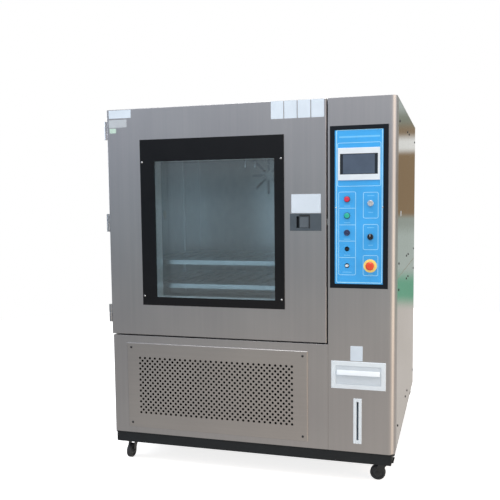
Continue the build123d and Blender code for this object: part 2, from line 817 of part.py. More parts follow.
# Selector switches: barrel with a raised finger bar
bar_width = 7.0
bar_proud = 9.0
skirt_thickness = 2.0
skirt_inset = 1.5
for device in ("upper", "lower"):
    centre_x, centre_z = device_spots[device]
    with BuildPart() as selector:
        skirt_y = collar_y[0] - skirt_thickness
        front_disc(device_spots[device], (skirt_y, collar_y[0] + stem_length), cap_radius)
        finger_y = (skirt_y - bar_proud, skirt_y)
        with BuildSketch(Plane.XZ.offset(-finger_y[1])) as finger:
            with Locations((centre_x, centre_z)):
                Rectangle(bar_width, 2 * (device_radius - skirt_inset))
        extrude(finger.sketch, amount=length(finger_y))
        with BuildSketch(Plane.XZ.offset(-collar_y[0])) as skirt:
            with Locations((centre_x, centre_z)):
                RegularPolygon(device_radius - skirt_inset, small_sides)
        extrude(skirt.sketch, amount=skirt_thickness)
        skirt_gap = run(collar_y[0] - seat, seat)
        front_disc(device_spots[device], skirt_gap, device_radius, mode=Mode.SUBTRACT)
        front_disc(device_spots[device], skirt_gap, cap_radius)
    save(selector.part, f"selector_{device}")

# Emergency stop: mushroom head on a stem
stop_gap = stop_travel + stop_clear
with BuildPart() as stop_button:
    head_y = (collar_y[0] - stop_gap - stop_head, collar_y[0] - stop_gap)
    front_disc(device_spots["stop"], head_y, stop_radius, sides=round_sides)
    crown = stop_button.faces().sort_by(Axis.Y)[0]
    chamfer(crown.edges(), stop_crown)
    front_disc(device_spots["stop"], (head_y[1], collar_y[0] + stem_length), cap_radius)
save(stop_button.part, "stop_button")

# Water drawer: a sleeve with a white frame, and a tray that slides in it
sleeve_x = grow(drawer_x, -drawer_rim)
sleeve_z = grow(drawer_z, -drawer_rim)
sleeve_y = (front, front + drawer_depth)
with BuildPart() as drawer_frame:
    bar(drawer_x, (front - drawer_proud, front), drawer_z)
    frame_face = drawer_frame.faces().sort_by(Axis.Y)[0]
    chamfer(frame_face.edges(), panel_bevel)
    bar(grow(sleeve_x, tray_wall), sleeve_y, grow(sleeve_z, tray_wall))
    bar(sleeve_x, (front - drawer_proud, sleeve_y[1] - tray_wall), sleeve_z, mode=Mode.SUBTRACT)
save(drawer_frame.part, "drawer_frame")
tray_x = grow(sleeve_x, -drawer_fit)
tray_z = (sleeve_z[0] + drawer_fit, sleeve_z[1] - drawer_fit)
tray_front = front - drawer_proud + tray_recess
tray_y = (tray_front, sleeve_y[1] - tray_wall - tray_stop)
tray_floor = 6.0
tray_side_height = 58.0
grip_depth = 9.0
grip_height = 12.0
with BuildPart() as water_drawer:
    bar(tray_x, run(tray_front, 2 * tray_wall), tray_z)
    bar(tray_x, tray_y, (tray_z[0], tray_z[0] + tray_side_height))
    basin_y = (tray_front + 2 * tray_wall, tray_y[1] - tray_wall)
    basin_z = (tray_z[0] + tray_floor, tray_z[0] + tray_side_height)
    bar(grow(tray_x, -tray_wall), basin_y, basin_z, mode=Mode.SUBTRACT)
    grip_z = mid(tray_z)
    with BuildSketch(Plane.YZ.offset(tray_x[0] + grip_inset)) as grip:
        with BuildLine():
            Polyline((tray_front, grip_z + grip_height), (tray_front - grip_depth, grip_z + grip_height))
            Line((tray_front - grip_depth, grip_z + grip_height), (tray_front, grip_z))
            Line((tray_front, grip_z), (tray_front, grip_z + grip_height))
        make_face()
    extrude(grip.sketch, amount=length(tray_x) - 2 * grip_inset)
save(water_drawer.part, "water_drawer")

# Water level gauge: slotted frame with a clear tube behind the slot, and the tank it reads
with BuildPart() as gauge_frame:
    bar(gauge_x, (front - gauge_proud, front), gauge_z)
    channel_x = grow(gauge_x, -2 * sheet - seat)
    bar(channel_x, (front, front + gauge_depth), grow(gauge_z, -2 * sheet - seat))
    slot_y = (front - gauge_proud, front + gauge_tube_depth)
    slot_z = grow(gauge_z, -gauge_slot_end)
    bar(around(mid(gauge_x), gauge_slot), slot_y, slot_z, mode=Mode.SUBTRACT)
save(gauge_frame.part, "gauge_frame")
with BuildPart() as gauge_tube:
    upright_disc((mid(gauge_x), slot_y[1] - gauge_tube_radius), slot_z, gauge_tube_radius)
save(gauge_tube.part, "gauge_tube")
tank_x = run(column_x[0] + tank_gap[0], tank_size[0])
tank_y = run(column_rear + tank_gap[1], tank_size[1])
tank_z = run(deck_z, tank_size[2])
with BuildPart() as water_tank:
    bar(tank_x, tank_y, tank_z)
    chamfer(water_tank.edges().filter_by(Axis.Z), tank_corner)
    tank_top = water_tank.faces().sort_by(Axis.Z)[-1]
    chamfer(tank_top.edges(), tank_edge)
    upright_disc((mid(tank_x), mid(tank_y)), run(tank_z[1], tank_neck[1]), tank_neck[0])
save(water_tank.part, "water_tank")

# Door shell: folded outer pan with the window hole, the latch hole and the bolt slot
latch_x = (door_x[1] - latch_edge_gap - latch_width, door_x[1] - latch_edge_gap)
cup_x = run(latch_x[0] + cup_offset, cup_width)
cup_z = around(latch_z, cup_height)
cup_y = (front, front + cup_depth)
bolt_x = (door_x[1] + bolt_reach - bolt_length, door_x[1] + bolt_reach)
with BuildPart() as door_shell:
    bar(door_x, door_y, door_z)
    shell_face = door_shell.faces().sort_by(Axis.Y)[0]
    chamfer(shell_face.edges(), panel_edge)
    inner_pan_y = (front + sheet, door_y[1])
    bar(grow(door_x, -sheet), inner_pan_y, grow(door_z, -sheet), mode=Mode.SUBTRACT)
    bar(tunnel_x, run(front, sheet), tunnel_z, mode=Mode.SUBTRACT)
    bar(grow(cup_x, cup_wall), run(front, sheet), grow(cup_z, cup_wall), mode=Mode.SUBTRACT)
    slot_x = (door_x[1] - sheet, door_x[1])
    bar(slot_x, grow(bolt_y, seat), grow(bolt_z, seat), mode=Mode.SUBTRACT)
save(door_shell.part, "door_shell")

# Door core: foam that fills the shell and the plug, round the window and the latch
core_y = (front + sheet, door_y[1] - sheet)
with BuildPart() as door_core:
    bar(grow(door_x, -sheet), core_y, grow(door_z, -sheet))
    front_pad(grow(plug_x, -sheet), grow(plug_z, -sheet), (core_y[1], plug_y[1] - sheet), plug_radius)
    bar(grow(tunnel_x, sheet), (core_y[0], plug_y[1]), grow(tunnel_z, sheet), mode=Mode.SUBTRACT)
    bar(grow(cup_x, cup_wall), (core_y[0], cup_y[1] + cup_wall), grow(cup_z, cup_wall), mode=Mode.SUBTRACT)
    bolt_run = (bolt_x[0] - bolt_travel - bolt_slack, door_x[1] - sheet)
    bar(bolt_run, grow(bolt_y, seat), grow(bolt_z, seat), mode=Mode.SUBTRACT)
save(door_core.part, "door_core")

# Door inner panel: one skin over the back of the door, the plug and the window tunnel
with BuildPart() as door_inner_panel:
    bar(grow(door_x, -sheet - seat), (door_y[1] - sheet, door_y[1]), grow(door_z, -sheet - seat))
    front_pad(plug_x, plug_z, (door_y[1] - sheet, plug_y[1]), plug_radius)
    hollow_y = (door_y[1] - sheet, plug_y[1] - sheet)
    front_pad(grow(plug_x, -sheet), grow(plug_z, -sheet), hollow_y, plug_radius, mode=Mode.SUBTRACT)
    bar(grow(tunnel_x, sheet), (front + sheet, plug_y[1]), grow(tunnel_z, sheet))
    bar(tunnel_x, (front + sheet, plug_y[1]), tunnel_z, mode=Mode.SUBTRACT)
save(door_inner_panel.part, "door_inner_panel")

# Door gasket: soft ring on the back of the door, just clear of the cabinet face
gasket_y = (door_y[1], box_front - seat)
with BuildPart() as door_gasket:
    outer_x = grow(work_x, gasket_margin + gasket_width)
    outer_z = grow(work_z, gasket_margin + gasket_width)
    front_pad(outer_x, outer_z, gasket_y, plug_radius + gasket_width)
    front_pad(grow(work_x, gasket_margin), grow(work_z, gasket_margin), gasket_y, plug_radius, mode=Mode.SUBTRACT)
save(door_gasket.part, "door_gasket")

# Window: black frame on the front of the door, and the outer and inner panes
frame_x = (glass_x[0] - bezel_left_rim, glass_x[1] + bezel_right_rim)
frame_z = (glass_z[0] - bezel_bottom_rim, glass_z[1] + bezel_top_rim)
frame_y = (front - bezel_thickness, front)
with BuildPart() as window_bezel:
    bar(frame_x, frame_y, frame_z)
    window_face = window_bezel.faces().sort_by(Axis.Y)[0]
    chamfer(window_face.edges(), bezel_edge)
    bar(glass_x, frame_y, glass_z, mode=Mode.SUBTRACT)
save(window_bezel.part, "window_bezel")
pane_x = grow(tunnel_x, -seat)
pane_z = grow(tunnel_z, -seat)
outer_pane_y = run(front + seat, glass_thickness)
inner_pane_y = run(plug_y[1] - pane_inset - glass_thickness, glass_thickness)
pane_solids = []
for pane_y in (outer_pane_y, inner_pane_y):
    with BuildPart() as pane:
        bar(pane_x, pane_y, pane_z)
    pane_solids.append(pane.part)
save(Compound(children=pane_solids), "window_glass")

# Hinges: a strapped leaf with a fixed pin on the cabinet, a short leaf on the door edge
axis_x = door_x[0] - pin_side_offset
axis_y = front + pin_depth
strap_x = run(door_x[0] - strap_gap - strap_thickness, strap_thickness)
pad_y = (front + strap_length - strap_width, front + strap_length)
cabinet_leaves = []
door_leaves = []
for hinge_centre in hinge_heights:
    hinge_z = around(door_z[0] + hinge_centre, hinge_height)
    lower_z = (hinge_z[0], mid(hinge_z) - seat / 2)
    upper_z = (mid(hinge_z) + seat / 2, hinge_z[1])
    with BuildPart() as cabinet_leaf:
        upright_disc((axis_x, axis_y), lower_z, knuckle_radius, sides=collar_sides)
        bar(strap_x, (axis_y, pad_y[1]), lower_z)
        bar((strap_x[0], left), pad_y, lower_z)
        chamfer(cabinet_leaf.edges().filter_by(Axis.Z).group_by(Axis.Y)[-1].sort_by(Axis.X)[0], strap_corner)
        upright_disc((axis_x, axis_y), hinge_z, pin_radius)
    cabinet_leaves.append(cabinet_leaf.part)
    with BuildPart() as door_leaf:
        upright_disc((axis_x, axis_y), upper_z, knuckle_radius, sides=collar_sides)
        bar((door_x[0] - strap_thickness, door_x[0]), run(front + leaf_setback, leaf_width), upper_z)
        upright_disc((axis_x, axis_y), upper_z, bore(pin_radius + pin_clearance), mode=Mode.SUBTRACT)
    door_leaves.append(door_leaf.part)
save(Compound(children=cabinet_leaves), "hinge_cabinet_leaves")
save(Compound(children=door_leaves), "hinge_door_leaves")

# Latch housing: face plate with a finger cup sunk in the door
plate_front = front - latch_plate
paddle_axis = (cup_x[1] - paddle_pin_inset, front + paddle_pin_depth)
with BuildPart() as latch_housing:
    bar(latch_x, (plate_front, front), around(latch_z, latch_height))
    latch_face = latch_housing.faces().sort_by(Axis.Y)[0]
    chamfer(latch_face.edges(), bezel_edge)
    bar(grow(cup_x, cup_wall - seat), (front, cup_y[1] + cup_wall - seat), grow(cup_z, cup_wall - seat))
    bar(cup_x, (plate_front, cup_y[1]), cup_z, mode=Mode.SUBTRACT)
    pin_hole_z = grow(cup_z, pin_hole_reach)
    upright_disc(paddle_axis, pin_hole_z, bore(paddle_pin_radius + pin_clearance), mode=Mode.SUBTRACT)
save(latch_housing.part, "latch_housing")

# Latch paddle: pulled plate on an upright pin in the cup walls
paddle_x = (paddle_axis[0] + paddle_edge - paddle_width, paddle_axis[0] + paddle_edge)
paddle_y = run(front - paddle_proud, paddle_thickness)
with BuildPart() as latch_paddle:
    bar(paddle_x, paddle_y, around(latch_z, paddle_height))
    free_edge = latch_paddle.edges().filter_by(Axis.Z).sort_by(Axis.X)[0:2]
    chamfer(free_edge, paddle_round)
    upright_disc(paddle_axis, grow(cup_z, paddle_pin_reach), paddle_pin_radius)
save(latch_paddle.part, "latch_paddle")

# Latch bolt: bevelled bar that slides in the door edge
with BuildPart() as latch_bolt:
    bar(bolt_x, bolt_y, bolt_z)
    nose = latch_bolt.edges().filter_by(Axis.Z).group_by(Axis.X)[-1].sort_by(Axis.Y)[-1]
    chamfer(nose, bolt_nose)
save(latch_bolt.part, "latch_bolt")

# Shelf uprights: slotted strips on the side walls, with brackets under each shelf
shelf_y = run(work_y[0] + shelf_front, shelf_depth)
upright_places = grow(shelf_y, -upright_inset)
bracket_reach = shelf_side_gap + bracket_grip
upright_solids = []
for wall_x, side in ((work_x[0], 1), (work_x[1], -1)):
    for place_y in upright_places:
        with BuildPart() as upright:
            near_x = sorted((wall_x, wall_x + side * upright_depth))
            bar(near_x, around(place_y, upright_width), grow(work_z, -upright_end_gap))
            for shelf_top in shelf_tops:
                under = work_z[0] + shelf_top - sheet
                reach_x = sorted((wall_x, wall_x + side * bracket_reach))
                bar(reach_x, around(place_y, upright_width / 2), (under - bracket_height, under))
        upright_solids.append(upright.part)
save(Compound(children=upright_solids), "shelf_uprights")

# Shelves: folded trays turned down at front and back, with long air slots
shelf_x = grow(work_x, -shelf_side_gap)
shelf_slots = 9
shelf_solids = []
for shelf_top in shelf_tops:
    tray_top = work_z[0] + shelf_top
    with BuildPart() as shelf:
        bar(shelf_x, shelf_y, (tray_top - sheet, tray_top))
        for lip_y in ((shelf_y[0], shelf_y[0] + sheet), (shelf_y[1] - sheet, shelf_y[1])):
            bar(shelf_x, lip_y, (tray_top - shelf_lip, tray_top))
        with BuildSketch(Plane.XY.offset(tray_top - sheet)) as slots:
            with Locations((mid(shelf_x), mid(shelf_y))):
                with GridLocations(length(shelf_x) / (shelf_slots + 1), 1, shelf_slots, 1):
                    Rectangle(*shelf_slot)
        extrude(slots.sketch, amount=sheet, mode=Mode.SUBTRACT)
    shelf_solids.append(shelf.part)
save(Compound(children=shelf_solids), "shelves")

# Air baffle: wall between workspace and duct, with a round inlet and outlet slots
baffle_y = run(duct_y[0], sheet)
baffle_z = grow(work_z, -seat)
outlet_width = 34.0
outlet_height = 150.0
outlets = 10
inlet_slots = 8
inlet_slot = (90.0, 16.0)
with BuildPart() as air_baffle:
    bar(grow(work_x, -seat), baffle_y, baffle_z)
    with BuildSketch(Plane.XZ.offset(-baffle_y[1])) as inlet:
        with Locations(duct_centre):
            with PolarLocations(fan_radius / 2, inlet_slots):
                Rectangle(*inlet_slot)
    extrude(inlet.sketch, amount=sheet, mode=Mode.SUBTRACT)
    with BuildSketch(Plane.XZ.offset(-baffle_y[1])) as outlet_row:
        with Locations((mid(work_x), work_z[0] + outlet_height)):
            with GridLocations(2 * outlet_width, 1, outlets, 1):
                Rectangle(outlet_width, outlet_height)
    extrude(outlet_row.sketch, amount=sheet, mode=Mode.SUBTRACT)
save(air_baffle.part, "air_baffle")

# Circulation fan: bladed wheel and its shaft, driven by a motor behind the insulation
wheel_gap = 24.0
wheel_rear = duct_y[1] - wheel_gap
wheel_plate = 4.0
hub_radius = 26.0
blade_thickness = 3.0
with BuildPart() as fan_wheel:
    front_disc(duct_centre, (wheel_rear - wheel_plate, wheel_rear), fan_radius, sides=round_sides)
    front_disc(duct_centre, (wheel_rear - fan_depth, wheel_rear), hub_radius)
    with BuildSketch(Plane.XZ.offset(-(wheel_rear - wheel_plate))) as blades:
        with Locations(duct_centre):
            with PolarLocations(fan_radius * blade_reach, fan_blades, rotate=True):
                Rectangle(fan_radius * blade_reach, blade_thickness, rotation=blade_tilt)
    extrude(blades.sketch, amount=fan_depth - wheel_plate)
    shaft_y = (wheel_rear - wheel_plate, box_rear + motor_seat)
    front_disc(duct_centre, shaft_y, shaft_radius)
save(fan_wheel.part, "fan_wheel")
motor_y = run(box_rear, motor_length)
with BuildPart() as fan_motor:
    front_disc(duct_centre, motor_y, motor_radius, sides=round_sides)
    motor_face = fan_motor.faces().sort_by(Axis.Y)[-1]
    chamfer(motor_face.edges(), motor_edge)
    foot_x = grow(around(duct_centre[0], 2 * motor_radius), motor_radius / 4)
    bar(foot_x, run(box_rear, motor_foot), around(duct_centre[1], motor_radius))
    bore_y = (box_rear, box_rear + motor_seat + seat)
    front_disc(duct_centre, bore_y, bore(shaft_radius + shaft_clearance), mode=Mode.SUBTRACT)
save(fan_motor.part, "fan_motor")


def finned_coil(x, y, z, fins, fin_thickness):
    """Coil block with upright fins along X, between two end plates."""
    bar(x, grow(y, -coil_margin), grow(z, -coil_margin))
    with BuildSketch(Plane.XY.offset(z[0])) as rows:
        with Locations((mid(x), mid(y))):
            with GridLocations((length(x) - fin_thickness) / (fins - 1), 1, fins, 1):
                Rectangle(fin_thickness, length(y))
    extrude(rows.sketch, amount=length(z))


# Evaporator at the foot of the duct and the rod heater above it
coil_x = grow(work_x, -coil_side_gap)
coil_y = (baffle_y[1] + seat, duct_y[1] - seat)
coil_z = run(work_z[0] + seat, coil_height)
with BuildPart() as evaporator:
    finned_coil(coil_x, coil_y, coil_z, coil_fins, coil_fin)
save(evaporator.part, "evaporator")
heater_z = run(coil_z[1] + heater_gap, heater_height)
heater_radius = 6.0
end_plate = 4.0
with BuildPart() as air_heater:
    for plate_x0 in (coil_x[0], coil_x[1] - end_plate):
        bar(run(plate_x0, end_plate), coil_y, heater_z)
    with BuildSketch(Plane.YZ.offset(coil_x[0])) as rods:
        with Locations((mid(coil_y), mid(heater_z))):
            with GridLocations(length(coil_y) / 2, length(heater_z) / 4, 2, heater_rods // 2):
                RegularPolygon(heater_radius, 6)
    extrude(rods.sketch, amount=length(coil_x))
save(air_heater.part, "air_heater")

# Chamber lamp: round guard on the ceiling of the workspace
lamp_centre = (mid(work_x), work_y[0] + lamp_setback)
with BuildPart() as chamber_lamp:
    upright_disc(lamp_centre, (work_z[1] - lamp_height, work_z[1]), lamp_radius, sides=round_sides)
    lamp_face = chamber_lamp.faces().sort_by(Axis.Z)[0]
    chamfer(lamp_face.edges(), lamp_edge)
save(chamber_lamp.part, "chamber_lamp")

# Cable port: flanged tube through the left wall, closed by a sliding plug
port_x = (left - port_proud, work_x[0] + port_proud)
with BuildPart() as cable_port:
    side_disc((port_y, port_z), port_x, tube_radius)
    side_disc((port_y, port_z), (port_x[0], left), tube_radius + port_flange)
    side_disc((port_y, port_z), port_x, port_radius, mode=Mode.SUBTRACT)
save(cable_port.part, "cable_port")
with BuildPart() as cable_plug:
    side_disc((port_y, port_z), port_x, port_radius - plug_clearance)
    side_disc((port_y, port_z), (port_x[0] - plug_head, port_x[0] - seat), port_radius + plug_head_margin)
    side_disc((port_y, port_z), (port_x[0] - seat, port_x[0]), port_radius - plug_clearance)
    grip_face = cable_plug.faces().sort_by(Axis.X)[0]
    chamfer(grip_face.edges(), plug_grip_edge)
save(cable_plug.part, "cable_plug")

# Compressor: domed hermetic pot on three feet
compressor_centre = (left + compressor_place[0], rear - compressor_place[1])
foot_height = 20.0
pot_shoulders = (21.0, 42.0)
pot_feet = 3
pot_z = run(deck_z + foot_height, compressor_height)
with BuildPart() as compressor:
    upright_disc(compressor_centre, pot_z, compressor_radius, sides=round_sides)
    chamfer(compressor.faces().sort_by(Axis.Z)[-1].edges(), pot_shoulders[1])
    chamfer(compressor.faces().sort_by(Axis.Z)[0].edges(), pot_shoulders[0])
    with BuildSketch(Plane.XY.offset(deck_z)) as feet:
        with Locations(compressor_centre):
            with PolarLocations(compressor_radius - pot_shoulders[0], pot_feet):
                Rectangle(*compressor_foot)
    extrude(feet.sketch, amount=foot_height)
save(compressor.part, "compressor")

# Condenser: finned coil with a fan ring and a motor post, on the deck behind the vent panel
condenser_x = run(left + condenser_place[0], condenser_width)
condenser_y = run(front + condenser_place[1], condenser_depth)
condenser_z = run(deck_z, condenser_height)
ring_depth = 70.0
post_radius = 10.0
condenser_blade = 5.0
blade_run = (20.0, condenser_fan_radius)
fan_spot = (mid(condenser_x), mid(condenser_z))
ring_y = run(condenser_y[1], ring_depth)
with BuildPart() as condenser:
    finned_coil(condenser_x, condenser_y, condenser_z, condenser_fins, condenser_fin)
    bar(condenser_x, ring_y, condenser_z)
    front_disc(fan_spot, ring_y, condenser_fan_radius + condenser_fan_gap, mode=Mode.SUBTRACT, sides=round_sides)
    front_disc(fan_spot, (condenser_y[1] - coil_margin, ring_y[1]), post_radius)
save(condenser.part, "condenser")
with BuildPart() as condenser_fan:
    hub_y = run(ring_y[0] + condenser_hub_gap, condenser_hub_depth)
    front_disc(fan_spot, hub_y, condenser_hub_radius)
    for blade in range(condenser_blades):
        with BuildSketch(Plane.XZ.offset(-hub_y[1])) as sector:
            with Locations(fan_spot):
                with PolarLocations(0, 1, start_angle=blade * 360.0 / condenser_blades):
                    with Locations((mid(blade_run), 0)):
                        Trapezoid(length(blade_run), blade_width, *blade_angles)
        extrude(sector.sketch, amount=condenser_blade)
    front_disc(fan_spot, hub_y, bore(post_radius + axle_clearance), mode=Mode.SUBTRACT)
save(condenser_fan.part, "condenser_fan")
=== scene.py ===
"""Looks of a free-standing environmental test chamber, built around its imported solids.

Sizes in the classes are millimetres of the solids' own frame: +X to the right of a person at the
door, -Y out of the door towards that person, +Z up, origin on the floor under the middle.
"""

import json
import logging
import math
from collections.abc import Iterable, Sequence
from dataclasses import dataclass
from enum import Enum

import bmesh
import bpy
from mathutils import Matrix, Vector


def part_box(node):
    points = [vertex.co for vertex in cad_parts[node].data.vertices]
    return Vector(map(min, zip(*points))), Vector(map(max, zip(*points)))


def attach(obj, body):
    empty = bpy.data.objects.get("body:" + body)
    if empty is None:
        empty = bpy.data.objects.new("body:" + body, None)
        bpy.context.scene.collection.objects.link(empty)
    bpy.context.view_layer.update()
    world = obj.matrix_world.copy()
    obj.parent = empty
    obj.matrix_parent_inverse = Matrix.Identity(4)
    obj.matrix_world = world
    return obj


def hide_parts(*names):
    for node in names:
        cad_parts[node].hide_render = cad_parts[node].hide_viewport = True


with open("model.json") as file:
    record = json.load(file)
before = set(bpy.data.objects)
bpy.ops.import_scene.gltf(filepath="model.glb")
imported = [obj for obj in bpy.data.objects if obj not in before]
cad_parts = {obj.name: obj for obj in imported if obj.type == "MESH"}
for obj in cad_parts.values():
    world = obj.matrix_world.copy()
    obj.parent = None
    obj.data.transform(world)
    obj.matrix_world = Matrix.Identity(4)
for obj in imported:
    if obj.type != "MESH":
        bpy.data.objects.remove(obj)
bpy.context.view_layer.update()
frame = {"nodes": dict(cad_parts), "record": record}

log = logging.getLogger("test_chamber")

MM = 0.001
PHOTO_PIXELS = 500
SHARP_ANGLE = math.radians(38)
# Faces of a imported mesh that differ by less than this, and points closer than this, are one
FLAT_ANGLE = math.radians(1)
SAME_POINT = 1e-3
# Most noise values lie between these
NOISE_MIDDLE = (0.3, 0.7)
Point = Sequence[float]
Pair = tuple[float, float]
Triple = tuple[float, float, float]
Quad = tuple[float, float, float, float]
Pairs = tuple[Pair, ...]
Bands = tuple[tuple[float, float, str], ...]
Socket = bpy.types.NodeSocket


def linear(hex_colour: str) -> Quad:
    """Turns an sRGB hex colour into linear RGBA.

    Args:
        hex_colour: Colour such as "#8f8f93".

    Returns:
        Red, green and blue in linear light, and an alpha of 1.
    """
    channels = [int(hex_colour[i : i + 2], 16) / 255 for i in (1, 3, 5)]
    steps = [c / 12.92 if c <= 0.04045 else ((c + 0.055) / 1.055) ** 2.4 for c in channels]
    return (steps[0], steps[1], steps[2], 1.0)


class Facing(Enum):
    """Side that a flat or turned piece faces, as its right-hand and upward directions."""

    FRONT = ((1, 0, 0), (0, 0, 1))
    REAR = ((-1, 0, 0), (0, 0, 1))
    RIGHT = ((0, 1, 0), (0, 0, 1))
    DOWN = ((1, 0, 0), (0, -1, 0))

    def matrix(self, origin: Point) -> Matrix:
        """Gives the transform from a piece's own axes, Z outwards, to the frame.

        Args:
            origin: Where the piece's own origin goes.

        Returns:
            The 4x4 transform.
        """
        right, up = (Vector(v) for v in self.value)
        turn = Matrix((right, up, right.cross(up))).transposed().to_4x4()
        return Matrix.Translation(origin) @ turn


@dataclass(frozen=True)
class Box:
    """Box between two corners, in millimetres."""

    low: Vector
    high: Vector

    @classmethod
    def of(cls, node: str) -> "Box":
        """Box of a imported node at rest."""
        low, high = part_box(node)
        return cls(low / MM, high / MM)

    @property
    def centre(self) -> Vector:
        """Middle of the box."""
        return (self.low + self.high) / 2

    @property
    def size(self) -> Vector:
        """Lengths of the box along X, Y and Z."""
        return self.high - self.low


def islands(node: str) -> list[Box]:
    """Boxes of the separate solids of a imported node.

    Args:
        node: Name of the node.

    Returns:
        One box for each solid, sorted by place.
    """
    bm = bmesh.new()
    bm.from_mesh(frame["nodes"][node].data)
    bmesh.ops.remove_doubles(bm, verts=bm.verts, dist=SAME_POINT * MM)
    left = set(bm.verts)
    boxes = []
    while left:
        reach = [left.pop()]
        seen = []
        while reach:
            vert = reach.pop()
            seen.append(vert.co / MM)
            near = {e.other_vert(vert) for e in vert.link_edges} & left
            left -= near
            reach.extend(near)
        low = Vector([min(p[i] for p in seen) for i in range(3)])
        high = Vector([max(p[i] for p in seen) for i in range(3)])
        boxes.append(Box(low, high))
    bm.free()
    return sorted(boxes, key=lambda b: tuple(round(c) for c in b.centre))


class Graph:
    """Node tree of one material, lamp or world."""

    def __init__(self, tree: bpy.types.NodeTree) -> None:
        """Starts from an emptied tree."""
        self.tree = tree
        tree.nodes.clear()

    def add(self, kind: str, inputs: dict | None = None, **settings: object) -> bpy.types.Node:
        """Adds a node with its settings and links.

        Args:
            kind: Type of the node.
            inputs: Value or linked socket for each input, by name or number.
            **settings: Properties of the node itself.

        Returns:
            The new node.
        """
        node = self.tree.nodes.new(kind)
        for name, value in settings.items():
            setattr(node, name, value)
        for name, value in (inputs or {}).items():
            if isinstance(value, Socket):
                self.tree.links.new(value, node.inputs[name])
            else:
                node.inputs[name].default_value = value
        return node

    def pattern(self, grain: Point, detail: float = 3.0, offset: Point = (0, 0, 0)) -> Socket:
        """Noise fixed to the piece, whose grains have a real size.

        Args:
            grain: Size of a grain along X, Y and Z, in millimetres.
            detail: Layers of finer noise.
            offset: Where the pattern starts, in grains.

        Returns:
            The noise value, from 0 to 1.
        """
        place = self.add("ShaderNodeTexCoord")
        scale = [1 / (g * MM) for g in grain]
        stretch = {"Vector": place.outputs["Object"], "Scale": scale, "Location": offset}
        mapping = self.add("ShaderNodeMapping", stretch)
        inputs = {"Vector": mapping.outputs[0], "Scale": 1.0, "Detail": detail, "Roughness": 0.55}
        return self.add("ShaderNodeTexNoise", inputs).outputs[0]

    def spread(self, value: Socket, low: float, high: float) -> Socket:
        """Stretches the middle of a noise value over a range.

        Args:
            value: Noise value.
            low: Result where the noise is weak.
            high: Result where the noise is strong.

        Returns:
            The stretched value.
        """
        weak, strong = NOISE_MIDDLE
        inputs = {"Value": value, "From Min": weak, "From Max": strong}
        inputs.update({"To Min": low, "To Max": high})
        return self.add("ShaderNodeMapRange", inputs).outputs[0]

    def tones(self, value: Socket, dark: str, light: str) -> Socket:
        """Mixes two colours by a noise value.

        Args:
            value: Noise value.
            dark: Colour where the noise is weak.
            light: Colour where the noise is strong.

        Returns:
            The mixed colour.
        """
        return self.mix(self.spread(value, 0.0, 1.0), linear(dark), linear(light))

    def mix(self, factor: object, base: object, top: object, blend: str = "MIX") -> Socket:
        """Mixes two colours.

        Args:
            factor: Share of the second, from 0 to 1.
            base: First colour, or its socket.
            top: Second colour, or its socket.
            blend: How the second is laid over the first, as the mix node names it.

        Returns:
            The mixed colour.
        """
        inputs = {0: factor, 6: base, 7: top}
        return self.add("ShaderNodeMix", inputs, data_type="RGBA", blend_type=blend).outputs[2]

    def ramp(self, value: Socket, low: float, high: float) -> Socket:
        """Rises softly from 0 to 1 between two values.

        Args:
            value: Value that is read.
            low: Where the rise begins.
            high: Where it ends.

        Returns:
            The rise.
        """
        inputs = {"Value": value, "From Min": low, "From Max": high}
        return self.add("ShaderNodeMapRange", inputs, interpolation_type="SMOOTHSTEP").outputs[0]

    def relief(
        self,
        height: Socket,
        depth: float,
        strength: float = 1.0,
        under: Socket | None = None,
    ) -> Socket:
        """Bumps the surface by a height value.

        Args:
            height: Height value.
            depth: Real depth of the relief, in millimetres.
            strength: How much of it shows.
            under: Normal of a coarser relief below it.

        Returns:
            The bumped normal.
        """
        inputs = {"Height": height, "Distance": depth * MM, "Strength": strength}
        if under is not None:
            inputs["Normal"] = under
        return self.add("ShaderNodeBump", inputs).outputs[0]

    def mottled(
        self, value: Socket, colour: str, darker: float, lighter: float
    ) -> Socket:
        """Varies a colour by a noise value.

        Args:
            value: Noise value.
            colour: Colour in the middle, such as "#8f8f93".
            darker: How much darker it gets where the noise is weak.
            lighter: How much lighter it gets where the noise is strong.

        Returns:
            The varied colour.
        """
        return self.tones(value, shade(colour, 1 - darker), shade(colour, 1 + lighter))


def shade(hex_colour: str, factor: float) -> str:
    """Lightens or darkens a hex colour.

    Args:
        hex_colour: Colour such as "#8f8f93".
        factor: Above 1 is lighter, below 1 darker.

    Returns:
        The new hex colour.
    """
    channels = [int(hex_colour[i : i + 2], 16) for i in (1, 3, 5)]
    return "#" + "".join(f"{min(255, round(c * factor)):02x}" for c in channels)


@dataclass(frozen=True)
class Finish:
    """What a surface is made of and how it was finished."""

    name: str

    def material(self) -> bpy.types.Material:
        """Makes the material once and gives it again afterwards."""
        found = bpy.data.materials.get(self.name)
        if found is not None:
            return found
        made = bpy.data.materials.new(self.name)
        made.use_nodes = True
        graph = Graph(made.node_tree)
        surface = self.surface(graph)
        graph.add("ShaderNodeOutputMaterial", {"Surface": surface})
        return made

    def surface(self, graph: Graph) -> Socket:
        """Adds the nodes of the surface.

        Args:
            graph: Tree to add them to.

        Returns:
            The shader socket.
        """
        raise NotImplementedError


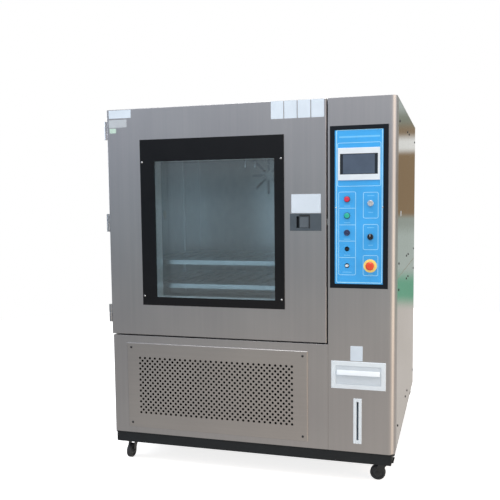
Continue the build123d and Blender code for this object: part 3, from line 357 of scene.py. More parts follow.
@dataclass(frozen=True)
class BrushedSteel(Finish):
    """Stainless sheet drawn through an abrasive belt, so that its grain runs one way.

    The eye gets a dull grey sheet whose reflections are smeared across the grain, with streaks a
    hand long and cloudy patches where the belt pressed more or less.
    """

    colour: str = "#c3c1c1"
    grain: Triple = (1.6, 1.6, 260.0)
    roughness: Pair = (0.3, 0.36)
    streak: float = 0.018
    # Bands are this many grains wide; clouds have a size of their own, in millimetres
    band: float = 9.0
    cloud: Triple = (420.0, 420.0, 560.0)
    anisotropy: float = 0.55

    def surface(self, graph: Graph) -> Socket:
        """Adds the brushed steel's nodes, as Finish.surface says."""
        # Real grain is 0.1 mm wide; it is drawn 1.6 mm wide, with 14 mm bands, so that it shows
        fine = graph.pattern(self.grain, 2.0)
        bands = graph.pattern([g * self.band for g in self.grain], 2.0, (3.1, 7.7, 1.3))
        clouds = graph.pattern(self.cloud, 2.0, (5.2, 1.4, 8.8))
        mixed = graph.add("ShaderNodeMath", {0: fine, 1: bands}, operation="ADD")
        halved = graph.add("ShaderNodeMath", {0: mixed.outputs[0], 1: 0.5}, operation="MULTIPLY")
        streaks = graph.mottled(halved.outputs[0], self.colour, self.streak, self.streak)
        patches = graph.tones(clouds, "#f3f3f5", "#ffffff")
        colour = graph.mix(1.0, streaks, patches, "MULTIPLY")
        waves = graph.relief(clouds, 0.6, 0.3)
        inputs = {
            "Base Color": colour,
            "Metallic": 1.0,
            "Roughness": graph.spread(halved.outputs[0], *self.roughness),
            "Anisotropic": self.anisotropy,
            "Tangent": graph.add("ShaderNodeTangent", direction_type="RADIAL", axis="Z").outputs[0],
            "Normal": graph.relief(fine, 0.02, 0.5, waves),
        }
        return graph.add("ShaderNodeBsdfPrincipled", inputs).outputs[0]


@dataclass(frozen=True)
class PolishedSteel(Finish):
    """Stainless sheet rolled or buffed bright.

    The eye gets near-mirror reflections that swim a little, because thin sheet is never quite flat,
    with faint rubbing marks.
    """

    colour: str = "#c9c9ca"
    roughness: Pair = (0.05, 0.11)
    wave: Triple = (420.0, 420.0, 300.0)
    wave_depth: float = 0.3
    rub: Triple = (34.0, 34.0, 60.0)

    def surface(self, graph: Graph) -> Socket:
        """Adds the polished steel's nodes, as Finish.surface says."""
        waves = graph.pattern(self.wave, 0.0)
        rubs = graph.pattern(self.rub, 4.0, (2.7, 4.1, 9.3))
        inputs = {
            "Base Color": graph.mottled(rubs, self.colour, 0.03, 0.02),
            "Metallic": 1.0,
            "Roughness": graph.spread(rubs, *self.roughness),
            "Normal": graph.relief(waves, self.wave_depth, 0.6),
        }
        return graph.add("ShaderNodeBsdfPrincipled", inputs).outputs[0]


@dataclass(frozen=True)
class Metal(Finish):
    """Plated, cast or extruded metal on small pieces.

    The eye gets an even metal tone with slight blotches from handling or casting.
    """

    colour: str = "#b4b4b6"
    roughness: Pair = (0.22, 0.34)
    grain: float = 6.0
    depth: float = 0.02

    def surface(self, graph: Graph) -> Socket:
        """Adds the metal's nodes, as Finish.surface says."""
        blotches = graph.pattern((self.grain,) * 3, 4.0)
        inputs = {
            "Base Color": graph.mottled(blotches, self.colour, 0.06, 0.05),
            "Metallic": 1.0,
            "Roughness": graph.spread(blotches, *self.roughness),
            "Normal": graph.relief(blotches, self.depth, 0.6),
        }
        return graph.add("ShaderNodeBsdfPrincipled", inputs).outputs[0]


@dataclass(frozen=True)
class Coating(Finish):
    """Opaque plastic, rubber, paint, foam or printed film.

    The eye gets an even colour with a slight mottle, and a grain that is fine on moulded plastic,
    an orange peel on sprayed paint and open cells on foam.
    """

    colour: str = "#202326"
    roughness: Pair = (0.4, 0.5)
    grain: float = 2.0
    depth: float = 0.05
    mottle: float = 0.05
    clouding: float = 90.0
    ior: float = 1.5
    coat: float = 0.0
    coat_roughness: float = 0.08

    def surface(self, graph: Graph) -> Socket:
        """Adds the coating's nodes, as Finish.surface says."""
        peel = graph.pattern((self.grain,) * 3, 2.0)
        clouds = graph.pattern((self.clouding,) * 3, 3.0, (6.1, 2.9, 4.4))
        inputs = {
            "Base Color": graph.mottled(clouds, self.colour, self.mottle, self.mottle),
            "Roughness": graph.spread(clouds, *self.roughness),
            "IOR": self.ior,
            "Coat Weight": self.coat,
            "Coat Roughness": self.coat_roughness,
            "Normal": graph.relief(peel, self.depth, 0.5),
        }
        return graph.add("ShaderNodeBsdfPrincipled", inputs).outputs[0]


@dataclass(frozen=True)
class Clear(Finish):
    """Glass or clear plastic.

    The eye gets what is behind it, tinted a little, with clean reflections and a faint film of
    dust. Shadow rays pass, so that daylight reaches what is behind the pane.
    """

    colour: str = "#dfeeea"
    roughness: Pair = (0.0, 0.02)
    ior: float = 1.5
    film: Triple = (140.0, 140.0, 220.0)

    def surface(self, graph: Graph) -> Socket:
        """Adds the clear material's nodes, as Finish.surface says."""
        dust = graph.pattern(self.film, 4.0)
        inputs = {
            "Base Color": linear(self.colour),
            "Roughness": graph.spread(dust, *self.roughness),
            "IOR": self.ior,
            "Transmission Weight": 1.0,
        }
        pane = graph.add("ShaderNodeBsdfPrincipled", inputs).outputs[0]
        path = graph.add("ShaderNodeLightPath").outputs
        through = graph.add("ShaderNodeBsdfTransparent", {"Color": linear(self.colour)}).outputs[0]
        passing = {0: path["Is Shadow Ray"], 1: path["Is Diffuse Ray"]}
        indirect = graph.add("ShaderNodeMath", passing, operation="MAXIMUM").outputs[0]
        return graph.add("ShaderNodeMixShader", {0: indirect, 1: pane, 2: through}).outputs[0]


CABINET_STEEL = BrushedSteel("cabinet_steel_vertical_brush")
VENT_STEEL = BrushedSteel(
    "vent_panel_steel_horizontal_brush", colour="#c4c0bd", grain=(260.0, 1.6, 1.6)
)
SIDE_STEEL = PolishedSteel("side_cover_mirror_steel", colour="#d9d8d6")
LINER_STEEL = PolishedSteel(
    "liner_mill_bright_steel",
    colour="#bcc0c2",
    roughness=(0.3, 0.34),
    wave=(420.0, 420.0, 420.0),
    wave_depth=0.2,
)
FRAME_PAINT = Coating(
    "base_frame_powder_coat", colour="#1b1f22", roughness=(0.36, 0.5), grain=1.4, ior=1.4
)
CASTER_PAINT = Coating("caster_black_enamel", colour="#2b2d2f", roughness=(0.3, 0.45), grain=1.2)
WHEEL_RUBBER = Coating(
    "caster_tread_rubber", colour="#2f3134", roughness=(0.55, 0.75), grain=0.8, mottle=0.12
)
WHEEL_HUB = Coating("caster_hub_nylon", colour="#3a3d40", roughness=(0.4, 0.55))
WINDOW_BLACK = Coating(
    "window_frame_black_enamel", colour="#0f1013", roughness=(0.16, 0.24), depth=0.01, ior=1.36
)
WINDOW_GLASS = Clear("window_toughened_glass", colour="#e2edf2")
HINGE_METAL = Metal("hinge_satin_chrome", colour="#b9babd", roughness=(0.2, 0.32))
LATCH_PLASTIC = Coating(
    "latch_grey_zinc_paint", colour="#47525b", roughness=(0.34, 0.46), grain=0.9
)
PADDLE_PAINT = Coating("latch_paddle_paint", colour="#59636b", roughness=(0.3, 0.42), grain=0.9)
ZINC = Metal("bolt_bright_zinc", colour="#b7b9ba", roughness=(0.24, 0.38))
BRIGHT_SCREW = Metal("window_screw_nickel", colour="#dcdcdc", roughness=(0.14, 0.22))
BLACK_SCREW = Coating("cover_screw_black_oxide", colour="#26282a", roughness=(0.3, 0.45), grain=0.6)
PANEL_BLACK = Coating(
    "control_bezel_black_anodised", colour="#0b131c", roughness=(0.3, 0.42), grain=0.7, ior=1.33
)
PANEL_BLUE = Coating(
    "control_plate_blue_film", colour="#3aa4ea", roughness=(0.34, 0.42), grain=0.5, mottle=0.025
)
PANEL_INK = Coating(
    "control_plate_pale_ink", colour="#9bd8fb", roughness=(0.34, 0.42), grain=0.5, mottle=0.03
)
PANEL_STRIP = Coating(
    "control_plate_pale_strip", colour="#6cc0f4", roughness=(0.34, 0.42), grain=0.5, mottle=0.03
)
# Painted shade: black strips that stand in for the shadow gap above the latch paddle and on its
# right
LATCH_GAP_SHADE = Coating(
    "latch_gap_painted_shade", colour="#1b1f23", roughness=(0.6, 0.75), grain=0.8, mottle=0.08
)
HOUSING_WHITE = Coating(
    "housing_cool_white_abs", colour="#dbe5ec", roughness=(0.36, 0.46), grain=0.8, mottle=0.02
)
# Painted shade: the drawer is drawn a greyer white than the housing, for the shade on its recessed
# front
DRAWER_SHADED_WHITE = Coating(
    "drawer_white_abs_painted_shade", colour="#cbd6df", roughness=(0.36, 0.46), grain=0.8, mottle=0.02
)
# Painted highlight: the grip is drawn a brighter white than the housing, for the light on its
# sloping face
GRIP_HIGHLIGHT_WHITE = Coating(
    "drawer_grip_painted_highlight", colour="#e6eef4", roughness=(0.3, 0.4), grain=0.8, mottle=0.02
)
PROBE_STEEL = Metal("sensor_probe_bright_steel", colour="#d5d7d8", roughness=(0.16, 0.26))
SCREEN_PALE = Coating(
    "screen_housing_pale_abs", colour="#d8e3ec", roughness=(0.34, 0.44), grain=0.8, mottle=0.02
)
SCREEN_EDGE = Coating(
    "screen_black_edge", colour="#1c242e", roughness=(0.14, 0.22), mottle=0.06, depth=0.004
)
SCREEN_DARK = Coating(
    "screen_display_film", colour="#4a586b", roughness=(0.14, 0.22), mottle=0.06, depth=0.004
)
COLLAR_BLACK = Coating(
    "switch_collar_black_nylon", colour="#20242c", roughness=(0.3, 0.42), grain=0.5
)
COLLAR_METAL = Metal("switch_collar_satin_nickel", colour="#c8cbd0", roughness=(0.2, 0.3))
CAP_RED = Coating(
    "button_cap_red_lens", colour="#d02a4c", roughness=(0.14, 0.22), coat=0.5, depth=0.01
)
CAP_GREEN = Coating(
    "button_cap_green_lens", colour="#1fae98", roughness=(0.14, 0.22), coat=0.5, depth=0.01
)
BUZZER_NAVY = Coating("buzzer_navy_nylon", colour="#25345c", roughness=(0.28, 0.4), grain=0.6)
KNOB_SILVER = Coating("selector_silver_paint", colour="#b9c0c7", roughness=(0.26, 0.36), grain=0.6)
KNOB_BLACK = Coating("selector_black_nylon", colour="#17191d", roughness=(0.28, 0.4), grain=0.6)
KNOB_MARK = Coating(
    "selector_white_mark", colour="#e9edf0", roughness=(0.3, 0.4), grain=0.6, mottle=0.02
)
STOP_RED = Coating(
    "stop_button_signal_red", colour="#dc4a26", roughness=(0.2, 0.3), coat=0.3, depth=0.01
)
STOP_YELLOW = Coating(
    "stop_plate_signal_yellow", colour="#f4d977", roughness=(0.3, 0.4), grain=0.7, mottle=0.03
)
LABEL_WHITE = Coating(
    "label_white_vinyl", colour="#cfdce8", roughness=(0.34, 0.5), grain=0.9, mottle=0.015
)
LABEL_SILVER = Coating(
    "label_silver_vinyl", colour="#b3bac0", roughness=(0.3, 0.44), grain=0.9, mottle=0.03
)
LABEL_GREEN = Coating(
    "label_pale_green_vinyl", colour="#b7d0c3", roughness=(0.36, 0.5), grain=0.9, mottle=0.03
)
# Painted shade: the clear tube is drawn opaque in the dark of the shaded slot behind it
GAUGE_TUBE_SHADE = Coating(
    "gauge_tube_painted_shade", colour="#4c5863", roughness=(0.12, 0.2), mottle=0.08, depth=0.005
)
FOAM = Coating(
    "insulation_foam", colour="#cfc29b", roughness=(0.8, 0.95), grain=1.5, depth=0.4, mottle=0.06
)
SILICONE = Coating("door_gasket_silicone", colour="#c3c7c7", roughness=(0.5, 0.62), grain=1.0)
PLUG_SILICONE = Coating("port_plug_silicone", colour="#cbc7bb", roughness=(0.5, 0.62), grain=1.0)
GALVANISED = Metal("galvanised_sheet", colour="#a3a8ab", roughness=(0.32, 0.5), grain=18.0)
FIN_ALUMINIUM = Metal("coil_fin_aluminium", colour="#c6c8ca", roughness=(0.25, 0.4), grain=3.0)
# Painted shade: the condenser and its fan are drawn near black, standing in for the shade behind
# the vent holes
CONDENSER_SHADE_BLACK = Coating(
    "condenser_painted_shade_black", colour="#15171a", roughness=(0.5, 0.65), grain=1.2, ior=1.35
)
SPACER_METAL = Metal("window_spacer_aluminium", colour="#e6e9e8", roughness=(0.4, 0.5), grain=9.0)
MOTOR_PAINT = Coating("motor_grey_blue_enamel", colour="#5a666f", roughness=(0.35, 0.5), grain=1.6)
POT_PAINT = Coating("compressor_black_enamel", colour="#1d1e20", roughness=(0.3, 0.42), grain=2.2)
TANK_PLASTIC = Coating(
    "tank_milky_polyethylene", colour="#d9dfdf", roughness=(0.45, 0.6), grain=2.0
)
LAMP_GLASS = Coating(
    "lamp_opal_glass", colour="#f0efe6", roughness=(0.18, 0.28), mottle=0.02, depth=0.01
)
BRASS = Metal("service_fitting_brass", colour="#c8a86a", roughness=(0.26, 0.4))


class Shape:
    """Mesh being modelled, in millimetres of the frame."""

    def __init__(self) -> None:
        """Starts with nothing."""
        self.bm = bmesh.new()

    @classmethod
    def copy_of(cls, node: str) -> "Shape":
        """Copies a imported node's mesh with its loose triangles merged into whole faces."""
        shape = cls()
        shape.bm.from_mesh(frame["nodes"][node].data)
        bmesh.ops.scale(shape.bm, vec=(1 / MM, 1 / MM, 1 / MM), verts=shape.bm.verts)
        bmesh.ops.remove_doubles(shape.bm, verts=shape.bm.verts, dist=SAME_POINT)
        bmesh.ops.dissolve_limit(
            shape.bm, angle_limit=FLAT_ANGLE, verts=shape.bm.verts, edges=shape.bm.edges
        )
        return shape

    def sharp_edges(self) -> list[bmesh.types.BMEdge]:
        """Edges between faces that meet at a sharp angle."""
        return [e for e in self.bm.edges if e.is_manifold and e.calc_face_angle() > SHARP_ANGLE]

    def soft_edged(self, width: float) -> None:
        """Rounds every sharp edge, and marks the flat faces as the ones that lead the shading.

        Args:
            width: Width of the rounding.
        """
        self.rounded(self.sharp_edges(), width, 2, "ALL")
        bmesh.ops.triangulate(self.bm, faces=[f for f in self.bm.faces if len(f.verts) > 4])

    def block(self, low: Point, high: Point, edge: float = 0.0, segments: int = 2) -> None:
        """Adds a block with rounded edges.

        Args:
            low: Lowest corner.
            high: Highest corner.
            edge: Rounding of its edges.
            segments: Steps of the rounding.
        """
        low, high = Vector(low), Vector(high)
        place = Matrix.Translation((low + high) / 2) @ Matrix.Diagonal((*(high - low), 1.0))
        verts = bmesh.ops.create_cube(self.bm, size=1.0, matrix=place)["verts"]
        if edge:
            edges = {e for v in verts for e in v.link_edges}
            self.rounded(edges, edge, segments)

    def rounded(
        self,
        edges: Iterable[bmesh.types.BMEdge],
        width: float,
        segments: int = 2,
        leading: str = "NONE",
    ) -> None:
        """Rounds some edges.

        Args:
            edges: Edges to round.
            width: Width of the rounding.
            segments: Steps of the rounding.
            leading: Faces whose weight in the shading is set, as the bevel operator names them.
        """
        bmesh.ops.bevel(
            self.bm,
            geom=list(edges),
            offset=width,
            segments=segments,
            affect="EDGES",
            profile=0.5,
            material=-1,
            clamp_overlap=True,
            face_strength_mode=leading,
        )

    def turned(
        self, profile: Sequence[Point], centre: Point, facing: Facing, steps: int = 32
    ) -> None:
        """Adds a shape turned on a lathe.

        Args:
            profile: Points of the outline as radius and height, closed on the axis or on itself.
            centre: Where the axis meets height 0.
            facing: Side that the height points to.
            steps: Sides of the round.
        """
        before = set(self.bm.verts)
        verts = [self.bm.verts.new((radius, 0.0, height)) for radius, height in profile]
        edges = [self.bm.edges.new(pair) for pair in zip(verts, verts[1:])]
        bmesh.ops.spin(
            self.bm,
            geom=verts + edges,
            cent=(0, 0, 0),
            axis=(0, 0, 1),
            dvec=(0, 0, 0),
            angle=2 * math.pi,
            steps=steps,
            use_merge=True,
        )
        self.settle(before, facing.matrix(centre))

    def settle(self, before: set[bmesh.types.BMVert], place: Matrix) -> None:
        """Merges what was added since and puts it in place.

        Args:
            before: Vertices that were there before.
            place: Transform of the new ones.
        """
        added = [v for v in self.bm.verts if v not in before]
        bmesh.ops.remove_doubles(self.bm, verts=added, dist=1e-4)
        added = [v for v in self.bm.verts if v not in before]
        bmesh.ops.transform(self.bm, matrix=place, verts=added)

    def plate(
        self,
        centre: Point,
        width: float,
        height: float,
        depth: float,
        facing: Facing,
        corner: float = 0.0,
        line: float = 0.0,
    ) -> None:
        """Adds a flat plate with rounded corners, or only its outline.

        Args:
            centre: Middle of its back face.
            width: Size across.
            height: Size upwards.
            depth: Thickness, outwards.
            facing: Side that it faces.
            corner: Radius of its corners.
            line: Width of the outline that is kept; 0 keeps the whole plate.
        """
        before = set(self.bm.verts)
        verts = bmesh.ops.create_grid(self.bm, x_segments=1, y_segments=1, size=0.5)["verts"]
        bmesh.ops.scale(self.bm, vec=(width, height, 1.0), verts=verts)
        if corner:
            bmesh.ops.bevel(
                self.bm,
                geom=verts,
                offset=corner,
                segments=4,
                affect="VERTICES",
                profile=0.5,
                material=-1,
            )
        face = next(v for v in self.bm.verts if v not in before).link_faces[0]
        kept = [face]
        if line:
            kept = bmesh.ops.inset_region(
                self.bm, faces=[face], thickness=line, use_even_offset=True, use_boundary=True
            )["faces"]
            bmesh.ops.delete(self.bm, geom=[face], context="FACES_ONLY")
        raised = bmesh.ops.extrude_face_region(self.bm, geom=kept)["geom"]
        tops = [v for v in raised if isinstance(v, bmesh.types.BMVert)]
        bmesh.ops.translate(self.bm, vec=(0, 0, depth), verts=tops)
        self.settle(before, facing.matrix(centre))

    def object(self, name: str, recalculate: bool = True) -> bpy.types.Object:
        """Turns the shape into an object at the origin, in metres.

        Args:
            name: Name of the piece.
            recalculate: Whether its faces are turned outwards again.

        Returns:
            The new object.
        """
        if recalculate:
            bmesh.ops.recalc_face_normals(self.bm, faces=self.bm.faces)
        bmesh.ops.scale(self.bm, vec=(MM, MM, MM), verts=self.bm.verts)
        mesh = bpy.data.meshes.new(name)
        self.bm.to_mesh(mesh)
        self.bm.free()
        mesh.shade_smooth()
        mesh.set_sharp_from_angle(angle=SHARP_ANGLE)
        made = bpy.data.objects.new(name, mesh)
        bpy.context.scene.collection.objects.link(made)
        return made


class Assembly:
    """Common part of the sub-assemblies: hangs pieces on the frame and reports them."""

    body = "chamber"

    def add(
        self,
        shape: Shape,
        name: str,
        finish: Finish,
        body: str | None = None,
        replaces: Sequence[str] = (),
        slot: str | None = None,
        recalculate: bool = True,
    ) -> bpy.types.Object:
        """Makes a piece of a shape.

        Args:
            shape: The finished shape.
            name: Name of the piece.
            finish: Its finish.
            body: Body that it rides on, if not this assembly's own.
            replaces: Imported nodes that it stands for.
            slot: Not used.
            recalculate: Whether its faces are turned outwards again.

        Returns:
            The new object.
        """
        piece = shape.object(name, recalculate)
        piece.data.materials.append(finish.material())
        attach(piece, body or self.body)
        if replaces:
            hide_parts(*replaces)
        log.info("%s: %d faces", name, len(piece.data.polygons))
        return piece

    def turned_part(
        self,
        node: str,
        name: str,
        finish: Finish,
        profile: Sequence[Point],
        slot: str,
        steps: int = 32,
    ) -> None:
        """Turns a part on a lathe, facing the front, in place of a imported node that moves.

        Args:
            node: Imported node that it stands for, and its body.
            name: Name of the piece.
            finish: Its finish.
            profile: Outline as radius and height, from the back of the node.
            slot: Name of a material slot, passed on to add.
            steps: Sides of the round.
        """
        box = Box.of(node)
        shape = Shape()
        shape.turned(profile, (box.centre.x, box.high.y, box.centre.z), Facing.FRONT, steps)
        self.add(shape, name, finish, body=node, replaces=(node,), slot=slot)

    def dress(self, finish: Finish, *nodes: str) -> None:
        """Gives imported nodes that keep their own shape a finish.

        Args:
            finish: Their finish.
            *nodes: Names of the nodes.
        """
        for node in nodes:
            data = frame["nodes"][node].data
            data.materials.clear()
            data.materials.append(finish.material())
            log.info("%s: %s", node, finish.name)

    def keep_flat(self, piece: bpy.types.Object) -> None:
        """Keeps the flat faces of a piece flat in the light beside its rounded edges."""
        flat = piece.modifiers.new("flat_faces_stay_flat", "WEIGHTED_NORMAL")
        flat.use_face_influence = True
        flat.keep_sharp = True

    def soften(self, finish: Finish, body: str, width: float, *nodes: str) -> None:
        """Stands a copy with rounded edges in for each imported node.

        Args:
            finish: Their finish.
            body: Body that they ride on.
            width: Width of the rounding.
            *nodes: Names of the nodes.
        """
        subparts = frame["record"]["subparts"]
        for node in nodes:
            shape = Shape.copy_of(node)
            shape.soft_edged(width)
            slot = next(s["material_slot"] for s in subparts if s["node"] == node)
            name = f"{node}_rounded"
            piece = self.add(shape, name, finish, body, (node,), slot, recalculate=False)
            self.keep_flat(piece)


@dataclass(frozen=True)
class Lamp:
    """Large soft lamp, with its place, its aim and its size in millimetres."""

    name: str
    place: Triple
    aim: Triple
    size: Pair
    watts: float
    colour: str = "#ffffff"
    mirrored: bool = True

    def build(self) -> None:
        """Hangs the lamp and turns it to its aim."""
        data = bpy.data.lights.new(self.name, "AREA")
        data.shape = "RECTANGLE"
        data.size, data.size_y = (length * MM for length in self.size)
        data.energy = self.watts
        data.color = linear(self.colour)[:3]
        lamp = bpy.data.objects.new(self.name, data)
        lamp.visible_glossy = self.mirrored
        lamp.location = Vector(self.place) * MM
        lamp.rotation_mode = "QUATERNION"
        lamp.rotation_quaternion = (Vector(self.aim) - Vector(self.place)).to_track_quat("-Z", "Y")
        bpy.context.scene.collection.objects.link(lamp)


@dataclass
class Studio:
    """Camera of the photograph, soft light and a pale floor."""

    focal_pixels: float = 687.99
    sensor: float = 36.0
    shift: Pair = (-0.0037, 0.0299)
    place: Triple = (1006.3, -3952.0, 1345.2)
    yaw: float = 16.512
    pitch: float = 4.885
    roll: float = 0.5875
    floor_radius: float = 5200.0
    floor_sides: int = 96
    floor_grain: float = 900.0
    floor_glow: float = 0.8
    light: float = 0.68
    # Direction, reach as a cosine and linear colour of the warm glow beyond the right side
    glow_way: Triple = (0.94, -0.33, 0.05)
    glow_reach: float = 0.78
    glow_colour: Quad = (1.35, 1.06, 0.78, 1.0)
    # Upper edge, softness and colour of each level band that the front mirrors, and then of each
    # that the polished side mirrors; heights are sines above the horizon
    front_bands: Bands = (
        (0.42, 0.20, "#e4e6ec"),
        (0.13, 0.08, "#cacdd3"),
        (0.045, 0.012, "#66747a"),
        (0.008, 0.010, "#c3d2d8"),
        (-0.060, 0.014, "#788488"),
        (-0.110, 0.030, "#d2cac1"),
        (-0.300, 0.150, "#d6cfc7"),
    )
    side_bands: Bands = (
        (0.128, 0.010, "#8f9488"),
        (0.110, 0.008, "#95836c"),
        (0.094, 0.007, "#eeefed"),
        (0.074, 0.006, "#927d63"),
        (-0.016, 0.005, "#a0a8a1"),
        (-0.036, 0.012, "#b6c1bc"),
        (-0.100, 0.012, "#78b297"),
        (-0.138, 0.012, "#d2ccc7"),
    )
    stripe_scale: Triple = (420.0, 6.0, 14.0)
    # Span of the mirrored direction over which the left's bluer tint fades, along X, and over which
    # the side's bands take over from the front's, along Y
    tint_span: Pair = (-0.62, -0.08)
    side_span: Pair = (0.35, 0.75)
    # The polished side would mirror the outline of the right lamp; the warm glow stands in for it
    soft_lamps: tuple[Lamp, ...] = (
        Lamp(
            "lamp_right",
            place=(3500.0, -1700.0, 1350.0),
            aim=(600.0, -700.0, 1000.0),
            size=(1700.0, 3200.0),
            watts=46.0,
            colour="#ffe2c2",
            mirrored=False,
        ),
        Lamp(
            "lamp_left",
            place=(-4300.0, -1500.0, 2500.0),
            aim=(-300.0, -500.0, 900.0),
            size=(2400.0, 2400.0),
            watts=75.0,
            colour="#eef3ff",
        ),
        Lamp(
            "lamp_top",
            place=(300.0, -1500.0, 4300.0),
            aim=(0.0, -300.0, 1000.0),
            size=(3000.0, 3000.0),
            watts=105.0,
        ),
    )

    def build(self) -> None:
        """Builds the whole studio."""
        bpy.context.scene.view_settings.view_transform = "Standard"
        self.camera()
        self.floor()
        self.world()
        for lamp in self.soft_lamps:
            lamp.build()

    def camera(self) -> None:
        """Adds the camera at the place and angle worked out from the photograph."""
        yaw, pitch, roll = (math.radians(a) for a in (self.yaw, self.pitch, self.roll))
        level = math.cos(pitch)
        ahead = Vector((-math.sin(yaw) * level, math.cos(yaw) * level, -math.sin(pitch)))
        right = Vector((math.cos(yaw), math.sin(yaw), 0.0))
        down = ahead.cross(right)
        tilted_right = math.cos(roll) * right + math.sin(roll) * down
        tilted_down = math.cos(roll) * down - math.sin(roll) * right
        data = bpy.data.cameras.new("photo_camera")
        data.sensor_width = self.sensor
        data.lens = self.focal_pixels / PHOTO_PIXELS * self.sensor
        data.shift_x, data.shift_y = self.shift
        camera = bpy.data.objects.new("photo_camera", data)
        turn = Matrix((tilted_right, -tilted_down, -ahead)).transposed().to_4x4()
        camera.matrix_world = Matrix.Translation(Vector(self.place) * MM) @ turn
        bpy.context.scene.collection.objects.link(camera)
        bpy.context.scene.camera = camera

    def floor(self) -> None:
        """Adds a pale floor that stays white away from the object's shadow."""
        bm = bmesh.new()
        radius = self.floor_radius * MM
        bmesh.ops.create_circle(bm, cap_ends=True, radius=radius, segments=self.floor_sides)
        mesh = bpy.data.meshes.new("floor")
        bm.to_mesh(mesh)
        bm.free()
        floor = bpy.data.objects.new("floor", mesh)
        # Metal mirrors the pale bands of the world instead of the floor's edge
        floor.visible_glossy = False
        bpy.context.scene.collection.objects.link(floor)
        material = bpy.data.materials.new("studio_floor")
        material.use_nodes = True
        graph = Graph(material.node_tree)
        ground = graph.pattern((self.floor_grain,) * 3, 2.0)
        paint = graph.tones(ground, "#dcdad8", "#e0dedc")
        lit = graph.add("ShaderNodeBsdfDiffuse", {"Color": paint})
        seen = self.seen_rays(graph)
        white = {"Color": linear("#ffffff"), "Strength": self.floor_glow}
        glow = graph.add("ShaderNodeEmission", white)
        dark = graph.add("ShaderNodeEmission", {"Strength": 0.0})
        extra = graph.add("ShaderNodeMixShader", {0: seen, 1: dark.outputs[0], 2: glow.outputs[0]})
        both = graph.add("ShaderNodeAddShader", {0: lit.outputs[0], 1: extra.outputs[0]})
        graph.add("ShaderNodeOutputMaterial", {"Surface": both.outputs[0]})
        mesh.materials.append(material)

    def seen_rays(self, graph: Graph) -> Socket:
        """Adds the test for rays that show the background, straight or through glass.

        Args:
            graph: Tree to add it to.

        Returns:
            A value of 1 for such rays.
        """
        path = graph.add("ShaderNodeLightPath").outputs
        seen = {0: path["Is Camera Ray"], 1: path["Is Transmission Ray"]}
        return graph.add("ShaderNodeMath", seen, operation="MAXIMUM").outputs[0]

    def bands(
        self,
        graph: Graph,
        height: Socket,
        above: str,
        edges: Bands,
    ) -> Socket:
        """Stacks soft level bands of colour, from the zenith downwards.

        Args:
            graph: Tree to add them to.
            height: Sine of the direction's height above the horizon.
            above: Colour above the highest band.
            edges: Upper edge, softness and colour of each band.

        Returns:
            The colour.
        """
        colour = linear(above)
        for edge, soft, tone in edges:
            colour = graph.mix(graph.ramp(height, edge - soft, edge + soft), linear(tone), colour)
        return colour

    def world(self) -> None:
        """Adds a white background, with soft pale bands where metal mirrors it."""
        world = bpy.data.worlds.new("studio_world")
        world.use_nodes = True
        bpy.context.scene.world = world
        graph = Graph(world.node_tree)
        way = graph.add("ShaderNodeTexCoord").outputs["Generated"]
        split = graph.add("ShaderNodeSeparateXYZ", {0: way}).outputs
        front = self.bands(graph, split["Z"], "#f7f8fa", self.front_bands)
        side = self.bands(graph, split["Z"], "#b7c0bd", self.side_bands)
        # Faint upright stripes break up the level bands of the side
        stretch = graph.add("ShaderNodeMapping", {"Vector": way, "Scale": self.stripe_scale})
        grain = {"Vector": stretch.outputs[0], "Scale": 1.0, "Detail": 2.0}
        noise = graph.add("ShaderNodeTexNoise", grain).outputs[0]
        side = graph.mix(1.0, side, graph.tones(noise, "#dcdad6", "#ffffff"), "MULTIPLY")
        fade = graph.ramp(split["X"], *self.tint_span)
        tint = graph.mix(fade, linear("#bcc6d2"), linear("#ffffff"))
        front = graph.mix(1.0, front, tint, "MULTIPLY")
        mirrored = graph.mix(graph.ramp(split["Y"], *self.side_span), front, side)
        # A warm glow beyond the right side gives the rounded corner its soft edge
        toward = {0: way, 1: self.glow_way}
        toward = graph.add("ShaderNodeVectorMath", toward, operation="DOT_PRODUCT").outputs["Value"]
        near = graph.ramp(toward, self.glow_reach, 1.0)
        mirrored = graph.mix(near, mirrored, self.glow_colour, "ADD")
        path = graph.add("ShaderNodeLightPath").outputs
        white, pale, light = (
            graph.add("ShaderNodeBackground", {"Color": colour, "Strength": strength}).outputs[0]
            for colour, strength in (
                (linear("#ffffff"), 1.0),
                (mirrored, 1.0),
                (linear("#f6f7fa"), self.light),
            )
        )
        metal = {0: path["Is Glossy Ray"], 1: light, 2: pale}
        metal = graph.add("ShaderNodeMixShader", metal).outputs[0]
        shown = graph.add("ShaderNodeMixShader", {0: self.seen_rays(graph), 1: metal, 2: white})
        graph.add("ShaderNodeOutputWorld", {"Surface": shown.outputs[0]})


@dataclass
class Cabinet(Assembly):
    """Folded sheet body, base frame and the covers of the right side."""

    fold: float = 0.7
    # Middle across, middle height, width and height of the blank plate
    side_label: Quad = (-437.0, 1301.0, 44.0, 26.0)
    label_depth: float = 0.35
    label_corner: float = 3.0

    def build(self) -> None:
        """Builds the cabinet's pieces."""
        sheets = ("cabinet_wrapper", "column_front", "bay_front")
        self.soften(CABINET_STEEL, self.body, self.fold, *sheets)
        self.dress(CABINET_STEEL, "rear_panel")
        self.soften(SIDE_STEEL, self.body, self.fold, "side_access_panels")
        self.dress(FRAME_PAINT, "base_frame")
        self.dress(FOAM, "insulation")
        self.dress(BRASS, "rear_services")
        shape = Shape()
        y, z, width, height = self.side_label
        spot = (Box.of("side_access_panels").high.x, y, z)
        shape.plate(spot, width, height, self.label_depth, Facing.RIGHT, self.label_corner)
        self.add(shape, "side_white_plate", LABEL_WHITE, slot="housing_white")


